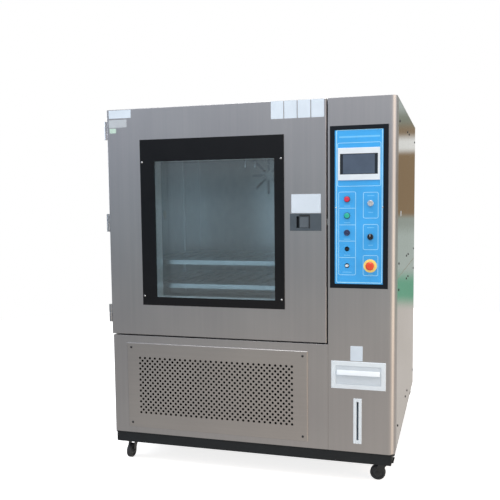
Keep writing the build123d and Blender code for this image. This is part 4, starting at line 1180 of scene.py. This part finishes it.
@dataclass
class VentPanel(Assembly):
    """Perforated cover of the machine bay: a shallow tray with staggered round holes."""

    columns: int = 30
    rows: int = 21
    pitch: Pair = (28.0, 14.48)
    hole_radius: float = 6.3
    hole_sides: int = 12
    first_column: float = -563.2
    lowest_row: float = 272.9
    sheet: float = 1.2
    fold: float = 3.0
    fold_steps: int = 3
    weld: float = 0.05
    on_line: float = 0.2

    def cell(self, shape: Shape, centre: Point) -> None:
        """Adds one cell of the pattern: a rectangle with a round hole.

        Args:
            shape: Shape that it is added to.
            centre: Middle of the hole.
        """
        half_x, half_z = self.pitch[0] / 2, self.pitch[1] / 2
        verts = bmesh.ops.create_grid(shape.bm, x_segments=2, y_segments=2, size=1.0)["verts"]
        middle = min(verts, key=lambda v: v.co.length)
        bmesh.ops.delete(shape.bm, geom=[middle], context="VERTS")
        rim = [v for v in verts if v.is_valid]
        bmesh.ops.scale(shape.bm, vec=(half_x, half_z, 1.0), verts=rim)
        outer = {tuple(v.co): v for v in rim}
        ring = [outer[key] for key in sorted(outer, key=lambda k: math.atan2(k[1], k[0]))]
        edges = []
        for one, two in zip(ring, ring[1:] + ring[:1]):
            edge = shape.bm.edges.get((one, two))
            edges.append(edge or shape.bm.edges.new((one, two)))
        hole = bmesh.ops.create_circle(
            shape.bm, radius=self.hole_radius, segments=self.hole_sides
        )["verts"]
        edges += list({e for v in hole for e in v.link_edges})
        bmesh.ops.triangle_fill(shape.bm, edges=edges, use_beauty=True)
        bmesh.ops.transform(shape.bm, matrix=Facing.FRONT.matrix(centre), verts=rim + hole)

    def half_cell(self, shape: Shape, low_x: float, face_y: float, z: float) -> None:
        """Adds the plain half cell that ends a shifted row.

        Args:
            shape: Shape that it is added to.
            low_x: Its left edge.
            face_y: Y of the panel's face.
            z: Middle of the row.
        """
        half_x, half_z = self.pitch[0] / 2, self.pitch[1] / 2
        upright = Matrix.Rotation(math.pi / 2, 4, "X")
        place = Matrix.Translation((low_x + half_x / 2, face_y, z)) @ upright
        quad = bmesh.ops.create_grid(shape.bm, x_segments=1, y_segments=2, size=1.0)["verts"]
        bmesh.ops.scale(shape.bm, vec=(half_x / 2, half_z, 1.0), verts=quad)
        bmesh.ops.transform(shape.bm, matrix=place, verts=quad)

    def holes(self, shape: Shape, face_y: float) -> None:
        """Adds the field of staggered holes.

        Args:
            shape: Shape that it is added to.
            face_y: Y of the panel's face.
        """
        half_x = self.pitch[0] / 2
        last_x = self.first_column + (self.columns - 1) * self.pitch[0]
        self.cell(shape, (0, 0, 0))
        master = list(shape.bm.verts) + list(shape.bm.edges) + list(shape.bm.faces)
        for row in range(self.rows):
            shifted = row % 2
            z = self.lowest_row + row * self.pitch[1]
            for column in range(self.columns - shifted):
                x = self.first_column + (column + shifted / 2) * self.pitch[0]
                copy = bmesh.ops.duplicate(shape.bm, geom=master)["geom"]
                verts = [g for g in copy if isinstance(g, bmesh.types.BMVert)]
                bmesh.ops.translate(shape.bm, vec=(x, face_y, z), verts=verts)
            if shifted:
                self.half_cell(shape, self.first_column - half_x, face_y, z)
                self.half_cell(shape, last_x, face_y, z)
        spare = [g for g in master if isinstance(g, bmesh.types.BMVert)]
        bmesh.ops.delete(shape.bm, geom=spare, context="VERTS")
        bmesh.ops.remove_doubles(shape.bm, verts=shape.bm.verts, dist=self.weld)

    def field_outline(self, shape: Shape) -> list[bmesh.types.BMEdge]:
        """Finds the edges on the outline of the field of holes.

        Args:
            shape: Shape with the field.

        Returns:
            The edges.
        """
        half_x, half_z = self.pitch[0] / 2, self.pitch[1] / 2
        limits = (
            (0, self.first_column - half_x),
            (0, self.first_column + (self.columns - 1) * self.pitch[0] + half_x),
            (2, self.lowest_row - half_z),
            (2, self.lowest_row + (self.rows - 1) * self.pitch[1] + half_z),
        )
        return [
            edge
            for edge in shape.bm.edges
            if edge.is_boundary
            and any(
                all(abs(vert.co[axis] - limit) < self.on_line for vert in edge.verts)
                for axis, limit in limits
            )
        ]

    def build(self) -> None:
        """Builds the panel: the holes, the plain border round them and the folded rim."""
        tray = Box.of("vent_panel")
        face_y = tray.low.y
        shape = Shape()
        self.holes(shape, face_y)
        inner = self.field_outline(shape)
        corners = [
            shape.bm.verts.new((x, face_y, z))
            for x, z in (
                (tray.low.x, tray.low.z),
                (tray.high.x, tray.low.z),
                (tray.high.x, tray.high.z),
                (tray.low.x, tray.high.z),
            )
        ]
        outer = [shape.bm.edges.new(pair) for pair in zip(corners, corners[1:] + corners[:1])]
        bmesh.ops.triangle_fill(shape.bm, edges=inner + outer, use_beauty=True)
        bmesh.ops.recalc_face_normals(shape.bm, faces=shape.bm.faces)
        rim = bmesh.ops.extrude_edge_only(shape.bm, edges=outer)["geom"]
        lip = [g for g in rim if isinstance(g, bmesh.types.BMVert)]
        bmesh.ops.translate(shape.bm, vec=(0, tray.size.y, 0), verts=lip)
        inward = [
            edge
            for vert in corners
            if vert.is_valid
            for edge in vert.link_edges
            if abs(edge.verts[0].co.y - edge.verts[1].co.y) > self.sheet / 2
        ]
        folds = set([edge for edge in outer if edge.is_valid] + inward)
        shape.rounded(folds, self.fold, self.fold_steps)
        bmesh.ops.recalc_face_normals(shape.bm, faces=shape.bm.faces)
        if sum((f.normal.y * f.calc_area() for f in shape.bm.faces), 0.0) > 0:
            bmesh.ops.reverse_faces(shape.bm, faces=shape.bm.faces)
        bmesh.ops.solidify(shape.bm, geom=list(shape.bm.faces), thickness=self.sheet)
        self.keep_flat(
            self.add(
                shape,
                "vent_panel_perforated",
                VENT_STEEL,
                replaces=("vent_panel",),
                slot="cabinet_steel",
            )
        )


@dataclass
class Fasteners(Assembly):
    """Screws of the vent panel, side covers, window frame and control plate."""

    # Radius and height of the heads
    cover_head: Pair = (6.2, 3.0)
    window_head: Pair = (4.6, 2.4)
    plate_head: Pair = (3.4, 1.8)
    head_sides: int = 16
    side_reach: float = 0.5
    plate_places: Pairs = ((465.5, 1334.0), (682.5, 1334.0))
    window_places: Pairs = (
        (-528.0, 889.4),
        (199.6, 889.4),
        (-528.0, 1572.3),
        (199.6, 1572.3),
    )

    def head(self, shape: Shape, place: Point, size: Point, facing: Facing = Facing.FRONT) -> None:
        """Adds a domed screw head with a socket.

        Args:
            shape: Shape that it is added to.
            place: Middle of its seat.
            size: Radius and height of the head.
            facing: Side that it faces.
        """
        radius, height = size
        profile = (
            (0.0, 0.0),
            (radius, 0.0),
            (radius, height * 0.35),
            (radius * 0.86, height * 0.75),
            (radius * 0.62, height),
            (radius * 0.4, height),
            (radius * 0.34, height * 0.3),
            (0.0, height * 0.3),
        )
        shape.turned(profile, place, facing, self.head_sides)

    def build(self) -> None:
        """Builds the screws."""
        heads = Shape()
        vent = Box.of("vent_panel")
        side_x = Box.of("side_access_panels").high.x
        for spot in islands("panel_screws"):
            centre = spot.centre
            if spot.low.x >= side_x - self.side_reach:
                self.head(heads, (side_x, centre.y, centre.z), self.cover_head, Facing.RIGHT)
            else:
                self.head(heads, (centre.x, vent.low.y, centre.z), self.cover_head)
        self.add(heads, "cover_screws", BLACK_SCREW, replaces=("panel_screws",), slot="screw_black")
        bright = Shape()
        window = Box.of("window_bezel")
        for x, z in self.window_places:
            self.head(bright, (x, window.low.y, z), self.window_head)
        self.add(bright, "window_screws", BRIGHT_SCREW, body="door", slot="bolt_zinc")
        small = Shape()
        plate = Box.of("control_plate")
        for x, z in self.plate_places:
            self.head(small, (x, plate.low.y, z), self.plate_head)
        self.add(small, "control_plate_screws", BRIGHT_SCREW, slot="bolt_zinc")


@dataclass
class Door(Assembly):
    """Insulated door with its window, hinges, latch and blank label plates."""

    body = "door"
    label_depth: float = 0.35
    label_corner: float = 2.5
    spacer_gap: float = 0.3
    spacer_wall: float = 9.0
    # Width of the black strips of painted shade round the latch paddle, and their gap to the paddle
    shade_strip_width: float = 6.0
    shade_strip_gap: float = 1.0
    # Middle across, middle height, width and height of each blank plate
    white_labels: tuple[Quad, ...] = (
        (-648.5, 1819.5, 124.0, 41.0),
        (181.5, 1801.0, 61.0, 84.0),
        (247.0, 1801.0, 61.0, 84.0),
        (312.5, 1801.0, 61.0, 84.0),
        (378.0, 1801.0, 61.0, 84.0),
        (320.5, 1355.0, 143.0, 90.0),
    )
    silver_label: Quad = (-661.0, 1772.0, 101.0, 39.0)
    green_label: Quad = (-689.0, 1736.5, 37.0, 24.0)

    def labels(self, name: str, finish: Finish, sizes: Iterable[Point]) -> None:
        """Adds blank label plates on the front of the door.

        Args:
            name: Name of the piece.
            finish: Their finish.
            sizes: Middle across, middle height, width and height of each.
        """
        shape = Shape()
        front = Box.of("door_shell").low.y
        for x, z, width, height in sizes:
            spot = (x, front, z)
            shape.plate(spot, width, height, self.label_depth, Facing.FRONT, self.label_corner)
        self.add(shape, name, finish, slot="housing_white")

    def spacer(self) -> None:
        """Adds the bright spacer between the outer and inner pane, round their edge."""
        outer, inner = islands("window_glass")
        shape = Shape()
        centre = outer.centre.copy()
        centre.y = inner.low.y - self.spacer_gap
        depth = centre.y - outer.high.y - self.spacer_gap
        width, height = (outer.size[axis] - 2 * self.spacer_gap for axis in (0, 2))
        shape.plate(centre, width, height, depth, Facing.FRONT, 0.0, self.spacer_wall)
        self.add(shape, "window_spacer", SPACER_METAL, slot="bolt_zinc")

    def latch_gap_shade(self) -> None:
        """Adds black strips above the paddle of the latch and on its right: painted shade that
        stands in for the shadow gap round the paddle.
        """
        paddle = Box.of("latch_paddle")
        front = Box.of("latch_housing").low.y
        wide = self.shade_strip_width
        shape = Shape()
        top = (paddle.centre.x + wide / 2, front, paddle.high.z + wide / 2 + self.shade_strip_gap)
        shape.plate(top, paddle.size.x + wide, wide, self.label_depth, Facing.FRONT)
        right = (paddle.high.x + wide / 2 + self.shade_strip_gap, front, paddle.centre.z)
        shape.plate(right, wide, paddle.size.z, self.label_depth, Facing.FRONT)
        self.add(shape, "latch_paddle_gap_shade", LATCH_GAP_SHADE, slot="wheel_rubber")

    def build(self) -> None:
        """Builds the door's pieces."""
        self.latch_gap_shade()
        # Finish, body and width of the rounding of each node with soft edges
        for finish, body, width, node in (
            (CABINET_STEEL, "door", 0.7, "door_shell"),
            (WINDOW_BLACK, "door", 0.6, "window_bezel"),
            (LINER_STEEL, "door", 0.7, "door_inner_panel"),
            (LATCH_PLASTIC, "door", 0.8, "latch_housing"),
            (PADDLE_PAINT, "latch_paddle", 0.7, "latch_paddle"),
            (ZINC, "latch_bolt", 0.6, "latch_bolt"),
            (HINGE_METAL, "door", 0.8, "hinge_door_leaves"),
            (HINGE_METAL, "chamber", 0.8, "hinge_cabinet_leaves"),
            (SILICONE, "door", 1.2, "door_gasket"),
        ):
            self.soften(finish, body, width, node)
        self.dress(WINDOW_GLASS, "window_glass")
        self.dress(FOAM, "door_core")
        self.dress(ZINC, "latch_keeper")
        self.spacer()
        self.labels("door_white_plates", LABEL_WHITE, self.white_labels)
        self.labels("door_silver_plate", LABEL_SILVER, (self.silver_label,))
        self.labels("door_green_plate", LABEL_GREEN, (self.green_label,))


@dataclass
class ControlPanel(Assembly):
    """Black bezel with the blue control plate, its printed outlines, screen and switches."""

    edge: float = 0.8
    ink_depth: float = 0.25
    line: float = 2.6
    rim_line: float = 4.2
    line_corner: float = 8.0
    # Left, right, bottom and top of each printed outline, the rim first
    outlines: tuple[Quad, ...] = (
        (466.0, 682.0, 979.0, 1695.0),
        (472.0, 674.0, 1432.0, 1635.0),
        (477.0, 559.0, 1016.0, 1408.0),
        (592.0, 663.0, 1283.0, 1405.0),
        (592.0, 663.0, 1136.0, 1256.0),
        (592.0, 663.0, 1014.0, 1111.0),
    )
    dividers: tuple[float, ...] = (1331.0, 1253.0, 1177.0, 1099.0)
    # Middle across, middle height, width and height of each plain strip
    caption_strips: tuple[Quad, ...] = (
        (574.5, 1661.0, 190.0, 8.0),
        (518.0, 1341.0, 30.0, 3.6),
        (518.0, 1263.0, 30.0, 3.6),
        (518.0, 1186.0, 30.0, 3.6),
        (518.0, 1110.0, 30.0, 3.6),
        (518.0, 1030.0, 44.0, 3.6),
        (627.5, 1388.0, 34.0, 3.6),
        (627.5, 1311.0, 22.0, 3.6),
        (627.5, 1240.0, 34.0, 3.6),
        (627.5, 1158.0, 22.0, 3.6),
        (627.5, 1022.0, 22.0, 3.6),
    )
    screen_margins: Pair = (14.0, 2.5)
    screen_corner: float = 1.0
    # Width, height, depth and corner of a socket's wall, and of the floor inside it
    socket_wall: Quad = (17.0, 11.0, 2.2, 5.2)
    socket_floor: Quad = (13.0, 7.0, 0.8, 3.2)
    socket_wall_width: float = 2.4
    # Radii: collars, with the holes of the lit buttons and of the other devices, and stems
    collar: float = 14.4
    button_hole: float = 12.7
    device_hole: float = 9.3
    stem: float = 9.0
    # Finger bar and pointer line of the selector knobs
    bar_width: float = 7.0
    bar_depth: float = 9.4
    bar_inset: float = 0.6
    bar_drop: float = 0.3
    bar_edge: float = 1.6
    pointer_width: float = 1.8
    pointer_depth: float = 0.6
    pointer_margins: Pair = (1.0, 1.5)
    pointer_edge: float = 0.2
    # Devices left of this line are the buttons, buzzer and sockets
    column_split: float = 560.0
    buzzer_profile: Pairs = (
        (0.0, 0.0),
        (14.4, 0.0),
        (14.4, 3.0),
        (12.5, 4.0),
        (11.0, 3.2),
        (5.0, 3.2),
        (4.2, 4.0),
        (0.0, 4.6),
    )
    stop_plate_profile: Pairs = (
        (14.6, 0.0),
        (31.0, 0.0),
        (31.0, 0.8),
        (30.4, 1.2),
        (14.6, 1.2),
        (14.6, 0.0),
    )
    # Outlines as radius and depth behind the tip
    button_profile: Pairs = (
        (9.0, 4.4),
        (12.4, 4.4),
        (12.4, 1.6),
        (11.0, 0.6),
        (7.44, 0.1),
        (0.0, 0.0),
    )
    knob_profile: Pairs = (
        (9.0, 11.3),
        (13.0, 11.3),
        (13.0, 9.6),
        (12.2, 8.9),
        (0.0, 8.6),
    )
    stop_profile: Pairs = (
        (9.0, 14.0),
        (17.0, 14.0),
        (20.0, 11.5),
        (20.0, 6.5),
        (18.6, 3.4),
        (15.6, 1.3),
        (9.0, 0.2),
        (0.0, 0.0),
    )

    def print_lines(self) -> None:
        """Adds the pale printed outlines on the blue plate."""
        shape = Shape()
        front = Box.of("control_plate").low.y
        for number, (left, right, bottom, top) in enumerate(self.outlines):
            centre = ((left + right) / 2, front, (bottom + top) / 2)
            size = (right - left, top - bottom, self.ink_depth)
            line = self.line if number else self.rim_line
            shape.plate(centre, *size, Facing.FRONT, self.line_corner, line)
        left, right = self.outlines[2][:2]
        for height in self.dividers:
            centre = ((left + right) / 2, front, height)
            width = right - left - self.line
            shape.plate(centre, width, self.line, self.ink_depth, Facing.FRONT)
        self.add(shape, "control_plate_outlines", PANEL_INK, slot="panel_blue")

    def screen(self) -> None:
        """Adds the unlit display area, which leaves the glass black at both sides."""
        shape = Shape()
        glass = Box.of("screen_display")
        centre = (glass.centre.x, glass.low.y, glass.centre.z)
        width = glass.size.x - 2 * self.screen_margins[0]
        height = glass.size.z - 2 * self.screen_margins[1]
        shape.plate(centre, width, height, self.ink_depth, Facing.FRONT, self.screen_corner)
        self.add(shape, "screen_unlit_area", SCREEN_DARK, slot="screen_dark")

    def captions(self) -> None:
        """Adds plain strips where the plate carries words."""
        shape = Shape()
        front = Box.of("control_plate").low.y
        for x, z, width, height in self.caption_strips:
            shape.plate((x, front, z), width, height, self.ink_depth, Facing.FRONT, height / 3)
        self.add(shape, "control_plate_plain_strips", PANEL_STRIP, slot="panel_blue")

    def ring(
        self, shape: Shape, spot: Box, outer: float, inner: float, height: float, seat: float
    ) -> None:
        """Adds a rounded ring round a device.

        Args:
            shape: Shape that it is added to.
            spot: Box of the device.
            outer: Outer radius.
            inner: Inner radius.
            height: How far it stands out.
            seat: Y of its back.
        """
        profile = (
            (inner, 0.0),
            (outer, 0.0),
            (outer, height * 0.6),
            (outer - height * 0.4, height),
            (inner + 0.5, height),
            (inner, height - 0.5),
            (inner, 0.0),
        )
        shape.turned(profile, (spot.centre.x, seat, spot.centre.z), Facing.FRONT)

    def build(self) -> None:
        """Builds the control panel's pieces."""
        self.soften(PANEL_BLACK, self.body, self.edge, "control_bezel")
        self.dress(PANEL_BLUE, "control_plate")
        self.soften(SCREEN_PALE, self.body, self.edge, "screen_housing")
        self.dress(SCREEN_EDGE, "screen_display")
        self.screen()
        self.print_lines()
        self.captions()
        self.devices()

    def on_stem(self, node: str, tip: Sequence[Point]) -> list[Point]:
        """Gives the outline of a device head on its stem.

        Args:
            node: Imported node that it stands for.
            tip: Outline of the head as radius and depth behind the tip.

        Returns:
            The whole outline as radius and height.
        """
        depth = Box.of(node).size.y
        return [(0.0, 0.0), (self.stem, 0.0), *((radius, depth - back) for radius, back in tip)]

    def collars(self) -> None:
        """Builds the collars, the sockets, the buzzer and the yellow plate."""
        plate_y = Box.of("control_plate").low.y
        spots = sorted(islands("switch_collars"), key=lambda s: -s.centre.z)
        red, green, buzzer, socket, jack = (s for s in spots if s.centre.x < self.column_split)
        upper, lower, stop = (s for s in spots if s.centre.x >= self.column_split)
        height = plate_y - red.low.y
        black = Shape()
        for spot in (red, green, lower, stop):
            inner = self.button_hole if spot in (red, green) else self.device_hole
            self.ring(black, spot, self.collar, inner, height, plate_y)
        self.socket(black, socket, plate_y)
        node = "switch_collars"
        self.add(black, f"{node}_black", COLLAR_BLACK, replaces=(node,), slot="collar_black")
        white = Shape()
        self.socket(white, jack, plate_y)
        self.add(white, "signal_socket_white", HOUSING_WHITE, slot="housing_white")
        nickel = Shape()
        self.ring(nickel, upper, self.collar, self.device_hole, height, plate_y)
        self.add(nickel, "selector_collar_nickel", COLLAR_METAL, slot="collar_black")
        navy = Shape()
        centre = (buzzer.centre.x, plate_y, buzzer.centre.z)
        navy.turned(self.buzzer_profile, centre, Facing.FRONT)
        self.add(navy, "buzzer_cap", BUZZER_NAVY, slot="collar_black")
        yellow = Shape()
        centre = (stop.centre.x, plate_y, stop.centre.z)
        yellow.turned(self.stop_plate_profile, centre, Facing.FRONT, 48)
        self.add(yellow, "stop_plate", STOP_YELLOW, slot="stop_red")

    def devices(self) -> None:
        """Builds the collars, buttons and knobs."""
        self.collars()
        for colour, finish in (("red", CAP_RED), ("green", CAP_GREEN)):
            node = f"{colour}_button"
            profile = self.on_stem(node, self.button_profile)
            self.turned_part(node, f"{node}_cap", finish, profile, f"button_{colour}")
        self.knob("selector_upper", KNOB_SILVER, COLLAR_BLACK, "knob_silver")
        self.knob("selector_lower", KNOB_BLACK, KNOB_MARK, "knob_black")
        node = "stop_button"
        profile = self.on_stem(node, self.stop_profile)
        self.turned_part(node, f"{node}_head", STOP_RED, profile, "stop_red", 40)

    def socket(self, shape: Shape, spot: Box, seat: float) -> None:
        """Adds a small oval socket with a recessed middle.

        Args:
            shape: Shape that it is added to.
            spot: Box of the socket.
            seat: Y of its back.
        """
        centre = (spot.centre.x, seat, spot.centre.z)
        *size, corner = self.socket_wall
        shape.plate(centre, *size, Facing.FRONT, corner, self.socket_wall_width)
        *size, corner = self.socket_floor
        shape.plate(centre, *size, Facing.FRONT, corner)

    def knob(self, node: str, finish: Finish, mark: Finish, slot: str) -> None:
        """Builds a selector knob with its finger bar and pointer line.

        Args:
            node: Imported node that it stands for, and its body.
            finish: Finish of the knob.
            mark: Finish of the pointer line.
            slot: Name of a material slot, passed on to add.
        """
        box = Box.of(node)
        x, tip, z = box.centre.x, box.low.y, box.centre.z
        knob = Shape()
        knob.turned(self.on_stem(node, self.knob_profile), (x, box.high.y, z), Facing.FRONT)
        reach = box.size.z / 2 - self.bar_inset
        half = self.bar_width / 2
        low = (x - half, tip + self.bar_drop, z - reach)
        high = (x + half, tip + self.bar_depth, z + reach)
        knob.block(low, high, self.bar_edge, 3)
        self.add(knob, f"{node}_knob", finish, body=node, replaces=(node,), slot=slot)
        line = Shape()
        half = self.pointer_width / 2
        start, end = z + self.pointer_margins[0], z + reach - self.pointer_margins[1]
        corners = (x - half, tip, start), (x + half, tip + self.pointer_depth, end)
        line.block(*corners, self.pointer_edge)
        self.add(line, f"{node}_mark", mark, body=node)


@dataclass
class WaterService(Assembly):
    """Water drawer, level gauge and the blank plate above them."""

    # Middle across, middle height, width and height of the blank plate
    label: Quad = (563.0, 641.0, 58.0, 72.0)
    label_depth: float = 0.35
    label_corner: float = 2.0
    frame_edge: float = 1.0
    grip_inset: float = 5.0
    grip_reach: float = 9.0
    grip_bottom: float = 2.0
    grip_height: float = 22.0
    grip_edge: float = 0.6
    tray_edge: float = 0.8
    cut: float = 0.5

    def drawer(self) -> None:
        """Builds the drawer with a grip whose sloping face catches the light; the tray is drawn
        greyer as painted shade and the grip whiter as a painted highlight.
        """
        shape = Shape.copy_of("water_drawer")
        box = Box.of("water_drawer")
        front = box.low.y + self.grip_reach + self.cut
        everything = list(shape.bm.verts) + list(shape.bm.edges) + list(shape.bm.faces)
        cut = bmesh.ops.bisect_plane(
            shape.bm, geom=everything, plane_co=(0, front, 0), plane_no=(0, -1, 0), clear_outer=True
        )["geom_cut"]
        rim = [g for g in cut if isinstance(g, bmesh.types.BMEdge)]
        bmesh.ops.edgeloop_fill(shape.bm, edges=rim)
        bmesh.ops.recalc_face_normals(shape.bm, faces=shape.bm.faces)
        shape.soft_edged(self.tray_edge)
        grip = Shape()
        inset = self.grip_inset
        low = Vector((box.low.x + inset, box.low.y, box.centre.z + self.grip_bottom))
        high = Vector((box.high.x - inset, front + self.cut, low.z + self.grip_height))
        grip.block(low, high)
        for vert in grip.bm.verts:
            if vert.co.z > box.centre.z + self.grip_height / 2 and vert.co.y < front:
                vert.co.y = front - self.cut
        grip.rounded(grip.sharp_edges(), self.grip_edge)
        node, slot = "water_drawer", "housing_white"
        self.keep_flat(self.add(shape, f"{node}_tray", DRAWER_SHADED_WHITE, node, (node,), slot))
        self.add(grip, f"{node}_grip", GRIP_HIGHLIGHT_WHITE, node, slot=slot)

    def build(self) -> None:
        """Builds the water service's pieces."""
        self.soften(HOUSING_WHITE, self.body, self.frame_edge, "drawer_frame", "gauge_frame")
        self.drawer()
        self.dress(GAUGE_TUBE_SHADE, "gauge_tube")
        self.dress(TANK_PLASTIC, "water_tank")
        shape = Shape()
        x, z, width, height = self.label
        spot = (x, Box.of("column_front").low.y, z)
        shape.plate(spot, width, height, self.label_depth, Facing.FRONT, self.label_corner)
        self.add(shape, "drawer_white_plate", LABEL_WHITE, slot="housing_white")


@dataclass
class Casters(Assembly):
    """Four swivel casters: plate, fork and a wheel with a rubber tread."""

    plate_edge: float = 0.6
    fork_edge: float = 0.8
    steps: int = 40
    # Radius of the rim and its depth below the wheel's face
    rim: Pair = (25.0, 2.0)
    # Outline of one side of the tread, as distance from the outside and depth below the face
    tread_profile: Pairs = ((6.5, 0.0), (2.6, 1.8), (0.0, 6.0))
    # Outline of one side of the hub, as radius and depth below the face
    hub_profile: Pairs = (
        (4.2, 0.0),
        (11.0, 0.0),
        (12.0, 1.0),
        (12.5, 4.0),
        (24.0, 5.0),
        (25.0, 3.0),
    )

    def build(self) -> None:
        """Builds the casters."""
        self.soften(CASTER_PAINT, self.body, self.plate_edge, "caster_plates")
        for corner in ("front_left", "front_right", "rear_left", "rear_right"):
            fork = f"fork_{corner}"
            self.soften(CASTER_PAINT, fork, self.fork_edge, fork)
            self.wheel(f"wheel_{corner}")

    def wheel(self, node: str) -> None:
        """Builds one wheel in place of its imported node.

        Args:
            node: Name of the node, which is also its body.
        """
        box = Box.of(node)
        along_y = box.size.y < box.size.x
        facing = Facing.REAR if along_y else Facing.RIGHT
        half = min(box.size.x, box.size.y) / 2
        radius = box.size.z / 2
        tread = [self.rim, *((radius - inwards, depth) for inwards, depth in self.tread_profile)]
        shape = Shape()
        shape.turned(self.both_sides(tread, half), box.centre, facing, self.steps)
        name, slot = f"{node}_tread", "wheel_rubber"
        self.add(shape, name, WHEEL_RUBBER, body=node, replaces=(node,), slot=slot)
        shape = Shape()
        shape.turned(self.both_sides(self.hub_profile, half), box.centre, facing, self.steps)
        self.add(shape, f"{node}_hub", WHEEL_HUB, body=node, slot=slot)

    def both_sides(self, side: Sequence[Point], half: float) -> list[Point]:
        """Gives the closed outline of a wheel whose two sides are alike.

        Args:
            side: One side, from its start outwards, as radius and depth below the wheel's face.
            half: Half of the wheel's width.

        Returns:
            The outline as radius and height.
        """
        near = [(radius, -half + depth) for radius, depth in side]
        far = [(radius, half - depth) for radius, depth in reversed(side)]
        return near + far + near[:1]


@dataclass
class Interior(Assembly):
    """Workspace lining, shelves, air circuit and machinery."""

    probe_radius: float = 3.0
    probe_length: float = 170.0
    probes: Pairs = ((-180.0, -60.0), (-120.0, -60.0))
    # How far the plate reaches past the probes to the side and to the front, and its thickness
    plate_reach: Triple = (22.0, 16.0, 4.0)
    plate_edge: float = 1.2
    lamp_edge: float = 1.5
    plug_edge: float = 1.2
    pot_edge: float = 4.0

    def sensors(self) -> None:
        """Adds the dry and wet bulb probes that hang from the ceiling on a small plate."""
        shape = Shape()
        lining = Box.of("chamber_lamp").high.z
        side, front, thick = self.plate_reach
        (left_x, left_y), (right_x, right_y) = self.probes
        low = (left_x - side, left_y - front, lining - thick)
        high = (right_x + side, right_y + front, lining)
        shape.block(low, high, self.plate_edge)
        radius, length = self.probe_radius, self.probe_length
        profile = (
            (0.0, 3.5),
            (radius * 2.6, 3.5),
            (radius * 2.6, 14.0),
            (radius, 18.0),
            (radius, length * 0.72),
            (radius * 1.9, length * 0.74),
            (radius * 1.9, length - 4.0),
            (radius * 1.2, length),
            (0.0, length),
        )
        for x, y in self.probes:
            shape.turned(profile, (x, y, lining), Facing.DOWN, 16)
        self.add(shape, "temperature_probes", PROBE_STEEL, slot="bolt_zinc")

    def build(self) -> None:
        """Dresses the inside."""
        self.sensors()
        self.dress(LINER_STEEL, "chamber_liner", "air_baffle", "cable_port")
        self.dress(LINER_STEEL, "shelves", "shelf_uprights")
        self.soften(LAMP_GLASS, self.body, self.lamp_edge, "chamber_lamp")
        self.dress(GALVANISED, "fan_wheel", "air_heater")
        self.dress(FIN_ALUMINIUM, "evaporator")
        self.dress(CONDENSER_SHADE_BLACK, "condenser", "condenser_fan")
        self.dress(MOTOR_PAINT, "fan_motor")
        self.soften(POT_PAINT, self.body, self.pot_edge, "compressor")
        self.soften(PLUG_SILICONE, "cable_plug", self.plug_edge, "cable_plug")


def main() -> None:
    """Builds the studio and every sub-assembly."""
    logging.basicConfig(level=logging.INFO, format="%(name)s: %(message)s")
    Studio().build()
    kinds = (Cabinet, VentPanel, Fasteners, Door, ControlPanel, WaterService, Casters, Interior)
    for kind in kinds:
        log.info("building %s", kind.__name__)
        kind().build()


if __name__ == "__main__":
    main()
